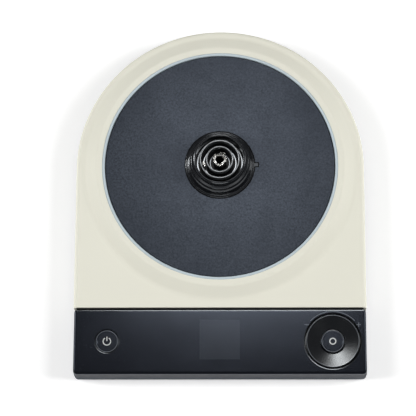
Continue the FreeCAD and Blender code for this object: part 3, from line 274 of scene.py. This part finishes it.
def plate_material():
    """Matt plate: fine grain, smudges, and a paler middle painted as a pool of light."""
    n = Nodes("plate_matt")
    clouds = n.noise(26.0, detail=4.0, roughness=0.6, distortion=0.4)
    smudges = n.spread(clouds, 0.0, 1.0, from_low=0.38, from_high=0.66)
    base = n.blend_colours(smudges, (0.018, 0.0215, 0.0275), (0.0275, 0.032, 0.0395))
    # The middle of the plate is painted paler as a pool of light.
    outside_painted_glow = n.radius_mask(GLOW_INNER, GLOW_OUTER)
    base = n.blend_colours(outside_painted_glow, (0.036, 0.042, 0.052), base)
    specks = n.noise(800.0, detail=3.0, roughness=0.8)
    speckle = n.spread(specks, 0.0, 1.0, from_low=0.34, from_high=0.66)
    light = n.blend_colours(speckle, (0.42, 0.42, 0.42), (1.62, 1.62, 1.62))
    n.feed(n.multiply_colours(base, light), "Base Color")
    n.feed(n.spread(n.noise(60.0, detail=5.0), 0.24, 0.30), "Roughness")
    n.grain(n.noise(2300.0, detail=2.0), 0.012 * MM)
    n.set(Specular_IOR_Level=0.16)
    n.tint(COOL)
    return n


def connector_material():
    """Black connector plastic: ring crests painted pale as a highlight, and bright metal tracks down in
    the slots.
    """
    n = plastic("connector_black", (0.006, 0.0065, 0.008), (0.005, 0.0055, 0.007), 0.17, 1500.0,
                0.003 * MM, rough_spread=0.03, tint=(0.88, 0.94, 1.0))
    n.set(Coat_Weight=0.3, Coat_Roughness=0.05)
    roughness = n.fed_by("Roughness")
    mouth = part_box("centre_contact")[1][2]
    # The ring crests near the top are painted pale as a highlight.
    high = n.level_mask(mouth + CREST_FADE[0], mouth + CREST_FADE[1])
    painted_crest_highlight = n.product(high, n.radius_mask(CREST_RADIUS, CREST_RADIUS + ZONE_FADE, inverted=True))
    coloured = n.blend_colours(painted_crest_highlight, n.fed_by("Base Color"), (0.33, 0.345, 0.36))
    key = n.radius_mask(KEY_START, KEY_START + ZONE_FADE)
    coloured = n.blend_colours(key, coloured, (0.030, 0.035, 0.043))
    bands = None
    for inner, outer in SLOT_TRACKS:
        after = n.radius_mask(inner, inner + TRACK_FADE)
        before = n.radius_mask(outer, outer + TRACK_FADE, inverted=True)
        band = n.product(after, before)
        bands = band if bands is None else n.largest(bands, band)
    track = n.product(n.level_mask(SLOT_FLOOR + SLOT_FADE[0], SLOT_FLOOR + SLOT_FADE[1]), bands)
    n.feed(n.blend_colours(track, coloured, (0.70, 0.74, 0.78)), "Base Color")
    n.feed(track, "Metallic")
    well = n.product(n.level_mask(mouth + WELL_FADE[0], mouth + WELL_FADE[1]),
                     n.radius_mask(WELL_RADIUS, WELL_RADIUS + ZONE_FADE, inverted=True))
    dulled = n.total(roughness, n.spread(well, 0.0, WELL_DULL, 0.0, 1.0))
    n.feed(n.difference(dulled, n.spread(track, 0.0, TRACK_POLISH, 0.0, 1.0)), "Roughness")
    return n


def fascia_material():
    """Gloss fascia whose upright skirt is duller than its top."""
    n = gloss("fascia_gloss", (0.0038, 0.0042, 0.0062), 0.15)
    skirt = n.level_mask(FASCIA_TOP + SKIRT_FADE[0], FASCIA_TOP + SKIRT_FADE[1])
    n.feed(n.total(n.fed_by("Roughness"), n.spread(skirt, 0.0, SKIRT_DULL, 0.0, 1.0)), "Roughness")
    return n


def paint_edge_highlight(n, mask, colour):
    """Lighter colour painted on an edge as a highlight."""
    n.feed(n.blend_colours(mask, n.fed_by("Base Color"), colour), "Base Color")


def button_material():
    """Gloss caps with a painted highlight ring round each of the two push buttons."""
    n = gloss("button_gloss", (0.008, 0.009, 0.012), 0.16)
    # A thin ring at each cap's edge is painted lighter as a highlight.
    paint_edge_highlight(n, n.largest(n.ring_mask(POWER, *POWER_EDGE), n.ring_mask(DIAL, *START_EDGE)),
             (0.12, 0.13, 0.145))
    return n


def dial_material():
    """Spun gloss face: the highlight stretches away from the dial's axis."""
    n = gloss("dial_gloss", (0.004, 0.0045, 0.006), 0.25, specular=0.95, tint=(0.94, 0.98, 1.0))
    # A thin ring on the rim is painted lighter as a highlight.
    paint_edge_highlight(n, n.ring_mask(DIAL, *DIAL_RIM), (0.085, 0.093, 0.105))
    n.set(Anisotropic=0.75)
    tangent = n.add("ShaderNodeTangent", direction_type="RADIAL", axis="Z")
    n.feed(tangent.outputs["Tangent"], "Tangent")
    return n


# Slot: material name, colour, second colour, roughness, grains per metre, grain depth.
PLAIN_PLASTICS = {
    "trim": ("frosted_ring", (0.48, 0.565, 0.605), (0.455, 0.535, 0.575), 0.35, 1500.0, 0.01 * MM),
    "symbol_white": ("symbol_white", (0.58, 0.59, 0.58), (0.54, 0.55, 0.54), 0.4, 1500.0, 0.002 * MM),
    "silicone": ("silicone", (0.50, 0.50, 0.50), (0.47, 0.47, 0.47), 0.5, 1200.0, 0.01 * MM),
    "rubber_foot": ("rubber_foot", (0.03, 0.03, 0.032), (0.026, 0.026, 0.028), 0.75, 1400.0, 0.04 * MM),
    "board_green": ("solder_mask", (0.02, 0.12, 0.05), (0.015, 0.10, 0.045), 0.3, 900.0, 0.01 * MM),
    "chip_black": ("chip_epoxy", (0.02, 0.02, 0.022), (0.018, 0.018, 0.02), 0.55, 2500.0, 0.02 * MM),
    "relay_blue": ("relay_case", (0.05, 0.16, 0.36), (0.045, 0.15, 0.33), 0.3, 1500.0, 0.01 * MM),
    "transformer_yellow": ("winding_tape", (0.60, 0.45, 0.10), (0.55, 0.41, 0.09), 0.45, 900.0, 0.02 * MM),
    "lead_red": ("lead_red", (0.45, 0.03, 0.02), (0.42, 0.028, 0.02), 0.5, 1500.0, 0.01 * MM),
    "lead_blue": ("lead_blue", (0.03, 0.10, 0.42), (0.028, 0.09, 0.39), 0.5, 1500.0, 0.01 * MM),
    "lead_green": ("lead_green", (0.10, 0.38, 0.05), (0.09, 0.35, 0.05), 0.5, 1500.0, 0.01 * MM),
    "lead_white": ("lead_white", (0.65, 0.65, 0.63), (0.6, 0.6, 0.58), 0.5, 1500.0, 0.01 * MM),
    "module_grey": ("module_frame", (0.08, 0.08, 0.088), (0.075, 0.075, 0.08), 0.5, 1500.0, 0.01 * MM),
    "terminal_grey": ("nylon_grey", (0.55, 0.55, 0.53), (0.52, 0.52, 0.5), 0.45, 1500.0, 0.01 * MM),
    "magnet_grey": ("bonded_ferrite", (0.06, 0.06, 0.065), (0.055, 0.055, 0.06), 0.6, 2000.0, 0.02 * MM),
    "guide_white": ("acetal_white", (0.60, 0.60, 0.58), (0.57, 0.57, 0.55), 0.4, 1500.0, 0.01 * MM),
}

MATERIALS = {slot: plastic(*look) for slot, look in PLAIN_PLASTICS.items()}
MATERIALS["housing_cream"] = plastic("cream_abs", (0.775, 0.765, 0.665), (0.762, 0.752, 0.652), 0.45,
                                     2600.0, 0.012 * MM, specular=0.2)
MATERIALS["housing_dark"] = plastic("dark_tray", (0.040, 0.050, 0.066), (0.035, 0.044, 0.058), 0.5,
                                    2200.0, 0.01 * MM, specular=0.05, tint=COOL)
MATERIALS["plate"] = plate_material()
MATERIALS["fascia_gloss"] = fascia_material()
MATERIALS["display_glass"] = gloss("display_window", (0.017, 0.019, 0.023), 0.15)
MATERIALS["dial_gloss"] = dial_material()
MATERIALS["button_gloss"] = button_material()
MATERIALS["connector_black"] = connector_material()
MATERIALS["contact_metal"] = metal("contact_silver", (0.74, 0.74, 0.72), (0.22, 0.215, 0.20), 0.26)
MATERIALS["screw_steel"] = metal("screw_zinc", (0.60, 0.60, 0.62), (0.5, 0.5, 0.52), 0.3)

for part in frame["record"]["subparts"]:
    node = frame["nodes"][part["node"]]
    node.data.materials.clear()
    node.data.materials.append(MATERIALS[part["material_slot"]].material)

# --------------------------------------------------------------- finer pieces


def new_piece(name, mesh_maker, material, body="base"):
    """A piece that rides one body, from a function that fills a bmesh."""
    mesh = bpy.data.meshes.new(name)
    build = bmesh.new()
    mesh_maker(build)
    bmesh.ops.recalc_face_normals(build, faces=build.faces)
    build.to_mesh(mesh)
    build.free()
    mesh.materials.append(material)
    piece = bpy.data.objects.new(name, mesh)
    scene.collection.objects.link(piece)
    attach(piece, body)
    return piece


def add_prism(build, centre, outline, low, high):
    """Closed upright prism over a flat outline of (x, y) points about a centre."""
    bottom = [build.verts.new((centre[0] + x, centre[1] + y, low)) for (x, y) in outline]
    top = [build.verts.new((centre[0] + x, centre[1] + y, high)) for (x, y) in outline]
    build.faces.new(bottom)
    build.faces.new(top)
    count = len(outline)
    for index in range(count):
        after = (index + 1) % count
        build.faces.new((bottom[index], bottom[after], top[after], top[index]))


def arc_outline(radius, width, start, sweep, steps):
    """Outline of a flat arc of this width, with its angles in degrees."""
    angles = [math.radians(start + sweep * step / steps) for step in range(steps + 1)]
    outer = radius + width / 2
    inner = radius - width / 2
    points = [(outer * math.cos(angle), outer * math.sin(angle)) for angle in angles]
    return points + [(inner * math.cos(angle), inner * math.sin(angle)) for angle in reversed(angles)]


INK_LOW = FASCIA_TOP - 0.01 * MM
INK_HIGH = FASCIA_TOP + 0.02 * MM
ARC_RADIUS = 18.75 * MM
ARC_WIDTH = 0.45 * MM
ARC_START = 43.0
ARC_SWEEP = 94.0
ARC_STEPS = 64
SIGN_X = 16.2 * MM
SIGN_Y = 10.3 * MM
SIGN_LENGTH = 2.7 * MM
SIGN_WIDTH = 0.5 * MM


def dial_marks(build):
    """Printed arc over the dial, with a minus at its left end and a plus at its right."""
    add_prism(build, DIAL, arc_outline(ARC_RADIUS, ARC_WIDTH, ARC_START, ARC_SWEEP, ARC_STEPS),
              INK_LOW, INK_HIGH)
    long_half = SIGN_LENGTH / 2
    thin_half = SIGN_WIDTH / 2
    bar = [(-long_half, -thin_half), (long_half, -thin_half),
           (long_half, thin_half), (-long_half, thin_half)]
    cross = [(-long_half, -thin_half), (-thin_half, -thin_half), (-thin_half, -long_half),
             (thin_half, -long_half), (thin_half, -thin_half), (long_half, -thin_half),
             (long_half, thin_half), (thin_half, thin_half), (thin_half, long_half),
             (-thin_half, long_half), (-thin_half, thin_half), (-long_half, thin_half)]
    for shape, side in ((bar, -1), (cross, 1)):
        place = (DIAL[0] + side * SIGN_X, DIAL[1] + SIGN_Y)
        add_prism(build, place, shape, INK_LOW, INK_HIGH)


ink = plastic("grey_ink", (0.115, 0.13, 0.152), (0.105, 0.12, 0.14), 0.5, 1800.0, 0.001 * MM)
new_piece("dial_marks", dial_marks, ink.material)

MARK_RADIUS = 2.35 * MM
MARK_LINE = 0.56 * MM
MARK_OPENING = 29.0
MARK_STEPS = 48
MARK_BAR = (0.3 * MM, 3.0 * MM)


def power_mark(build):
    """Open ring with a bar standing in its opening."""
    low, high = [corner[2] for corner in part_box("power_symbol")]
    sweep = 360.0 - 2.0 * MARK_OPENING
    ring = arc_outline(MARK_RADIUS, MARK_LINE, 90.0 + MARK_OPENING, sweep, MARK_STEPS)
    add_prism(build, POWER, ring, low, high)
    side = MARK_LINE / 2
    foot, head = MARK_BAR
    add_prism(build, POWER, [(-side, foot), (side, foot), (side, head), (-side, head)], low, high)


mark = new_piece("power_mark", power_mark, MATERIALS["symbol_white"].material,
                 "power_button")
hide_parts("power_symbol")

SOCKET_SEGMENTS = 144
SOCKET_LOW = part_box("centre_contact")[0][2]
SOCKET_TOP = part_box("centre_contact")[1][2]
BORE_SHADE_BELOW = 3.5 * MM
FINGER_DIP = 0.9
FINGER_LAG = 1.3

# Waves of the crimped mouth: height in mm, number round the turn, and phase.
FINGER_WAVES = ((0.26, 3.0, 0.5), (0.16, 5.0, 2.1), (0.10, 11.0, 0.9), (0.06, 17.0, 0.0))

# Radius, level and waviness of the spring socket, from its tail up and down into the bore.
SOCKET_PROFILE = [
    (0.0, SOCKET_LOW, 0.0),
    (1.4 * MM, SOCKET_LOW, 0.0),
    (1.4 * MM, SOCKET_LOW + 11.4 * MM, 0.0),
    (3.6 * MM, SOCKET_LOW + 12.4 * MM, 0.0),
    (3.6 * MM, SOCKET_TOP - 3.6 * MM, 0.2),
    (3.9 * MM, SOCKET_TOP - 1.6 * MM, 0.7),
    (4.25 * MM, SOCKET_TOP - 0.7 * MM, 1.0),
    (4.15 * MM, SOCKET_TOP - 0.25 * MM, 1.0),
    (3.85 * MM, SOCKET_TOP - 0.05 * MM, 1.0),
    (3.5 * MM, SOCKET_TOP - 0.35 * MM, 1.0),
    (3.25 * MM, SOCKET_TOP - 0.9 * MM, 0.9),
    (2.95 * MM, SOCKET_TOP - 0.55 * MM, 0.8),
    (2.65 * MM, SOCKET_TOP - 0.8 * MM, 0.7),
    (2.4 * MM, SOCKET_TOP - 1.6 * MM, 0.4),
    (2.3 * MM, SOCKET_TOP - 3.2 * MM, 0.0),
    (2.3 * MM, SOCKET_TOP - 6.0 * MM, 0.0),
    (2.3 * MM, SOCKET_TOP - 13.0 * MM, 0.0),
    (0.0, SOCKET_TOP - 14.0 * MM, 0.0),
]


def socket_wave(angle):
    """How far the crimped spring fingers stand out or in at this angle, in metres."""
    return sum(height * math.sin(count * angle + phase) for height, count, phase in FINGER_WAVES) * MM


def spring_socket(build):
    """Turned socket whose mouth is crimped into uneven spring fingers."""
    rings = []
    for radius, level, waviness in SOCKET_PROFILE:
        if radius == 0.0:
            rings.append([build.verts.new((CENTRE[0], CENTRE[1], level))])
            continue
        ring = []
        for index in range(SOCKET_SEGMENTS):
            angle = 2.0 * math.pi * index / SOCKET_SEGMENTS
            reach = radius + waviness * socket_wave(angle)
            dip = FINGER_DIP * abs(waviness * socket_wave(angle + FINGER_LAG))
            ring.append(build.verts.new((CENTRE[0] + reach * math.cos(angle),
                                         CENTRE[1] + reach * math.sin(angle), level - dip)))
        rings.append(ring)
    for lower, upper in zip(rings, rings[1:]):
        for index in range(SOCKET_SEGMENTS):
            after = (index + 1) % SOCKET_SEGMENTS
            corners = [lower[index % len(lower)], lower[after % len(lower)],
                       upper[after % len(upper)], upper[index % len(upper)]]
            face = build.faces.new(list(dict.fromkeys(corners)))
            face.smooth = True
            # Faces deep in the bore take the dark material: painted shade inside the hole.
            deep = upper[0].co.z < SOCKET_TOP - BORE_SHADE_BELOW
            in_bore = lower[0].co.z > upper[0].co.z
            face.material_index = 1 if deep and in_bore else 0


socket = new_piece("spring_socket", spring_socket, MATERIALS["contact_metal"].material)
# Dark metal on the deep bore faces, painted shade.
bore_shade = metal("bore_painted_shade", (0.05, 0.048, 0.045), (0.03, 0.03, 0.03), 0.45)
socket.data.materials.append(bore_shade.material)
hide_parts("centre_contact")

LIP_RADIUS = 22.05 * MM
LIP_THICKNESS = 0.32 * MM
LIP_LIFT = 0.2
LIP_FLATNESS = 0.6
LIP_SIDES = 8
LIP_STEPS = 180
KEY_REACH = 24.55 * MM
KEY_HALF = 1.4 * MM
MITRE_LIMIT = 0.5


def gap_shade_lip(build):
    """Thin black lip round the connector's flange and its key, painted shade for the gap there."""
    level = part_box("kettle_plate")[1][2]
    start = math.asin(KEY_HALF / LIP_RADIUS)
    points = []
    for step in range(LIP_STEPS + 1):
        angle = start + (2.0 * math.pi - 2.0 * start) * step / LIP_STEPS
        points.append(Vector((LIP_RADIUS * math.cos(angle), LIP_RADIUS * math.sin(angle))))
    points += [Vector((KEY_REACH, -KEY_HALF)), Vector((KEY_REACH, KEY_HALF))]
    rings = []
    count = len(points)
    for index, point in enumerate(points):
        before = (point - points[index - 1]).normalized()
        after = (points[(index + 1) % count] - point).normalized()
        sideways = Vector((before.y + after.y, -before.x - after.x))
        sideways /= sideways.length * max(MITRE_LIMIT, math.sqrt((1.0 + before.dot(after)) / 2.0))
        ring = []
        for corner in range(LIP_SIDES):
            turn = 2.0 * math.pi * corner / LIP_SIDES
            flat = point + sideways * LIP_THICKNESS * math.cos(turn)
            height = level + LIP_THICKNESS * (LIP_LIFT + LIP_FLATNESS * math.sin(turn))
            ring.append(build.verts.new((CENTRE[0] + flat.x, CENTRE[1] + flat.y, height)))
        rings.append(ring)
    for index in range(count):
        following = rings[(index + 1) % count]
        for corner in range(LIP_SIDES):
            after = (corner + 1) % LIP_SIDES
            face = build.faces.new((rings[index][corner], rings[index][after],
                                    following[after], following[corner]))
            face.smooth = True


# Matt black painted shade for gaps, used by the flange lip and the joint strip.
painted_gap_shade = plastic("painted_gap_shade", (0.003, 0.003, 0.0035), (0.0025, 0.0025, 0.003), 0.6, 1500.0,
                     0.002 * MM, specular=0.2)
new_piece("flange_seal_lip", gap_shade_lip, painted_gap_shade.material)

RING_SEGMENTS = 192


def turned_ring(name, centre, profile, material, segments=RING_SEGMENTS):
    """Closed ring turned about a vertical axis from a profile of (radius, level) points."""

    def turn_profile(build):
        rings = []
        for index in range(segments):
            angle = 2.0 * math.pi * index / segments
            rings.append([build.verts.new((centre[0] + radius * math.cos(angle),
                                           centre[1] + radius * math.sin(angle), level))
                          for (radius, level) in profile])
        for index, ring in enumerate(rings):
            following = rings[(index + 1) % segments]
            for corner in range(len(profile)):
                after = (corner + 1) % len(profile)
                build.faces.new((ring[corner], ring[after], following[after], following[corner]))

    return new_piece(name, turn_profile, material)


# Shallow polished rings round two holes in the fascia, on top of their steep chamfers.
LEAD_IN_SLOPE = 0.38
LEAD_IN_FOOT = FASCIA_TOP - 0.7 * MM
LEAD_IN_PROUD = 0.01 * MM
LEAD_IN_LAP = 0.05 * MM
LEAD_INS = (("dial_lead_in", DIAL, 17.72 * MM, 18.15 * MM),
            ("power_lead_in", POWER, 7.5 * MM, 7.95 * MM))
polish = gloss("lead_in_polish", (0.006, 0.0065, 0.008), 0.26, specular=0.8, tint=COOL_POLISH)
for name, centre, inner, outer in LEAD_INS:
    turned_ring(name, centre, [
        (inner, LEAD_IN_FOOT),
        (inner, FASCIA_TOP - LEAD_IN_SLOPE * (outer - inner)),
        (outer, FASCIA_TOP + LEAD_IN_PROUD),
        (outer + LEAD_IN_LAP, FASCIA_TOP - LEAD_IN_LAP),
        (outer, LEAD_IN_FOOT),
    ], polish.material)

DOME_WALL = 0.8 * MM
DOME_FLANGE = 0.6 * MM
FLANGE_THICKNESS = 0.7 * MM
SHOULDER_HEIGHT = 1.4 * MM
CROWN_HALF = 0.5 * MM


def return_dome(name, node, crown):
    """Silicone return dome under a push button."""
    low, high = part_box(node)
    centre = middle_of(node)
    base = low[2]
    top = high[2]
    rim = (high[0] - low[0]) / 2
    wall = rim - DOME_FLANGE
    flange = base + FLANGE_THICKNESS
    shoulder = base + SHOULDER_HEIGHT
    dome = turned_ring(name, centre, [
        (wall - DOME_WALL, base),
        (rim, base),
        (rim, flange - 0.15 * MM),
        (rim - 0.15 * MM, flange),
        (wall, flange),
        (wall, shoulder),
        (wall - 0.25 * MM, shoulder + 0.2 * MM),
        (crown + CROWN_HALF, top - 0.9 * MM),
        (crown + CROWN_HALF, top - 0.1 * MM),
        (crown + CROWN_HALF - 0.1 * MM, top),
        (crown - CROWN_HALF + 0.1 * MM, top),
        (crown - CROWN_HALF, top - 0.1 * MM),
        (crown - CROWN_HALF, top - 1.2 * MM),
        (wall - DOME_WALL, shoulder),
    ], MATERIALS["silicone"].material)
    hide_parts(node)
    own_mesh(dome)


return_dome("power_return_dome", "power_button_dome", 3.4 * MM)
return_dome("start_return_dome", "start_button_dome", 4.4 * MM)

JOINT_FRONT = FASCIA_BACK - 0.30 * MM
JOINT_BACK = FASCIA_BACK + 0.78 * MM
JOINT_CROWN = FASCIA_TOP - 0.6 * MM
JOINT_FOOT = FASCIA_TOP - 1.6 * MM
JOINT_EDGE = 0.12 * MM
JOINT_HALF = 89.8 * MM


def long_strip(build, outline):
    """Straight strip across the base from a profile of (y, level) points."""
    left = [build.verts.new((-JOINT_HALF, y, z)) for (y, z) in outline]
    right = [build.verts.new((JOINT_HALF, y, z)) for (y, z) in outline]
    build.faces.new(left)
    build.faces.new(right)
    for index in range(len(outline)):
        after = (index + 1) % len(outline)
        build.faces.new((left[index], left[after], right[after], right[index]))


def joint_strip(build):
    """Thin black strip in the joint between the fascia and the cream housing, painted shade for the gap.
    """
    long_strip(build, [
        (JOINT_FRONT, JOINT_FOOT),
        (JOINT_FRONT, JOINT_CROWN - JOINT_EDGE),
        (JOINT_FRONT + JOINT_EDGE, JOINT_CROWN),
        (JOINT_BACK - JOINT_EDGE, JOINT_CROWN),
        (JOINT_BACK, JOINT_CROWN - JOINT_EDGE),
        (JOINT_BACK, JOINT_FOOT),
    ])


new_piece("joint_strip", joint_strip, painted_gap_shade.material)


def rear_bead(build):
    """Narrow polished bevel along the fascia's rear edge."""
    front = FASCIA_BACK - 1.05 * MM
    back = FASCIA_BACK - 0.27 * MM
    long_strip(build, [
        (front, FASCIA_TOP - 1.0 * MM),
        (front, FASCIA_TOP - 0.11 * MM),
        (back - 0.08 * MM, FASCIA_TOP - 0.40 * MM),
        (back, FASCIA_TOP - 0.50 * MM),
        (back, FASCIA_TOP - 1.2 * MM),
    ])


bead_polish = gloss("bead_polish", (0.006, 0.0065, 0.008), 0.16, specular=1.0, tint=COOL_POLISH)
new_piece("rear_bead", rear_bead, bead_polish.material)

LEAF_REACH = 10.4 * MM
LEAF_ANGLE = math.radians(196.0)
LEAF_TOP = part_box("neutral_contact")[1][2]
RIVET_PLACE = (CENTRE[0] + LEAF_REACH * math.cos(LEAF_ANGLE),
               CENTRE[1] + LEAF_REACH * math.sin(LEAF_ANGLE))
RIVET_SEGMENTS = 48
turned_ring("contact_rivet", RIVET_PLACE, [
    (0.12 * MM, LEAF_TOP - 0.6 * MM),
    (0.12 * MM, LEAF_TOP + 0.02 * MM),
    (0.40 * MM, LEAF_TOP + 0.10 * MM),
    (0.80 * MM, LEAF_TOP + 0.06 * MM),
    (1.08 * MM, LEAF_TOP - 0.15 * MM),
    (1.18 * MM, LEAF_TOP - 0.55 * MM),
    (1.18 * MM, LEAF_TOP - 0.8 * MM),
], MATERIALS["contact_metal"].material, RIVET_SEGMENTS)

# ------------------------------------------------------ stage, lights, camera

FLOOR_HALF = 3.0
FLOOR_GAP = 0.1 * MM
FLOOR_GLOW = 0.30
WORLD_LEVEL = 0.10
floor_corners = [(x, y, 0.0) for x, y in ((-FLOOR_HALF, -FLOOR_HALF), (FLOOR_HALF, -FLOOR_HALF),
                                          (FLOOR_HALF, FLOOR_HALF), (-FLOOR_HALF, FLOOR_HALF))]
floor_mesh = bpy.data.meshes.new("floor")
floor_mesh.from_pydata(floor_corners, [], [(0, 1, 2, 3)])
floor = bpy.data.objects.new("floor", floor_mesh)
floor.location.z = -FLOOR_GAP
scene.collection.objects.link(floor)
floor_look = plastic("floor_white", (0.93, 0.93, 0.93), (0.92, 0.92, 0.92), 0.8, 20.0, 0.0)
floor_look.shader.inputs["Emission Color"].default_value = (1.0, 1.0, 1.0, 1.0)
floor_look.set(Emission_Strength=FLOOR_GLOW)
floor.data.materials.append(floor_look.material)

world = bpy.data.worlds.new("studio")
world.use_nodes = True
world.node_tree.nodes["Background"].inputs["Color"].default_value = (1.0, 1.0, 1.0, 1.0)
world.node_tree.nodes["Background"].inputs["Strength"].default_value = WORLD_LEVEL
scene.world = world


def flagged(names, shaded):
    """Collection that limits a light to some pieces, or keeps it off them where shaded is true."""
    group = bpy.data.collections.new("flag")
    for name in names:
        group.objects.link(frame["nodes"].get(name) or bpy.data.objects[name])
    for member in group.collection_objects:
        member.light_linking.link_state = "EXCLUDE" if shaded else "INCLUDE"
    return group


def soft_box(name, place, target, size, radiance, only=(), without=()):
    """Rectangular studio light of this brightness, aimed at a point."""
    data = bpy.data.lights.new(name, "AREA")
    data.shape = "RECTANGLE"
    data.size, data.size_y = size
    data.energy = radiance * math.pi * data.size * data.size_y
    light = bpy.data.objects.new(name, data)
    light.location = place
    light.rotation_euler = (Vector(target) - Vector(place)).to_track_quat("-Z", "Y").to_euler()
    if only or without:
        light.light_linking.receiver_collection = flagged(only or without, bool(without))
    scene.collection.objects.link(light)
    return light


MIDDLE = (0.0, 0.0, 0.02)
PLATE = (0.0, 0.02, 0.02)
BOSS = (0.0, 0.02, 0.03)
PANEL = (0.0, -0.07, 0.02)
DIAL_FACE = (0.07, -0.09, 0.02)
BODY = ("connector_body",)
CONTACTS = ("spring_socket", "neutral_contact", "contact_rivet")
CONNECTOR = BODY + CONTACTS + ("earth_contact",)
EDGES = ("dial_lead_in", "power_lead_in", "rear_bead")

# Diffusers light the matt surfaces only: name, place, size, brightness.
DIFFUSERS = (
    ("diffuser_left", (-1.2, -0.07, 0.9), (0.6, 1.0), 9.4),
    ("diffuser_right", (1.2, -0.07, 0.9), (0.6, 1.0), 9.8),
)
for name, place, size, radiance in DIFFUSERS:
    soft_box(name, place, MIDDLE, size, radiance).visible_glossy = False

# Cards show only as reflections in gloss, and flags limit most of them to a few pieces:
# name, place, aim, size, brightness, the only pieces it lights, pieces it is kept off.
CARDS = (
    ("card_top", (0.0, 0.525, 1.6), PLATE, (0.29, 0.44), 9.3, (), BODY),
    ("card_boss", (0.0, 0.30, 1.6), PLATE, (0.95, 0.80), 1.5, BODY, ()),
    ("card_contacts", (0.15, 0.85, 1.05), BOSS, (0.50, 0.40), 11.0, CONTACTS, ()),
    ("card_dial", (-0.10, 0.63, 0.96), DIAL_FACE, (0.40, 0.16), 15.5, ("dial",), ()),
    ("card_back", (0.36, 0.98, 0.70), PANEL, (1.10, 0.50), 12.0, EDGES, ()),
    ("card_left", (-1.15, 0.32, 0.62), MIDDLE, (0.4, 0.6), 5.0, (), ()),
    ("card_right", (1.15, 0.32, 0.62), MIDDLE, (0.4, 0.6), 5.0, (), ()),
    ("strip_left", (-1.15, 0.44, 0.24), BOSS, (0.30, 0.26), 40.0, CONNECTOR, ()),
    ("card_rim", (0.0, 1.05, 0.75), BOSS, (0.45, 0.30), 9.0, BODY, ()),
    ("card_front", (0.0, -1.05, 0.70), BOSS, (0.9, 0.30), 7.0, BODY, ()),
)
for name, place, target, size, radiance, only, without in CARDS:
    soft_box(name, place, target, size, radiance, only, without).visible_diffuse = False

SENSOR_WIDTH = 36.0
LENS = 163.87
CAMERA_PLACE = (0.018922, -0.323980, 1.178304)
CAMERA_TURN = (15.357, 1.2586, 0.1978)
camera_data = bpy.data.cameras.new("camera")
camera_data.sensor_width = SENSOR_WIDTH
camera_data.lens = LENS
camera = bpy.data.objects.new("camera", camera_data)
camera.location = CAMERA_PLACE
camera.rotation_euler = [math.radians(turn) for turn in CAMERA_TURN]
scene.collection.objects.link(camera)
scene.camera = camera
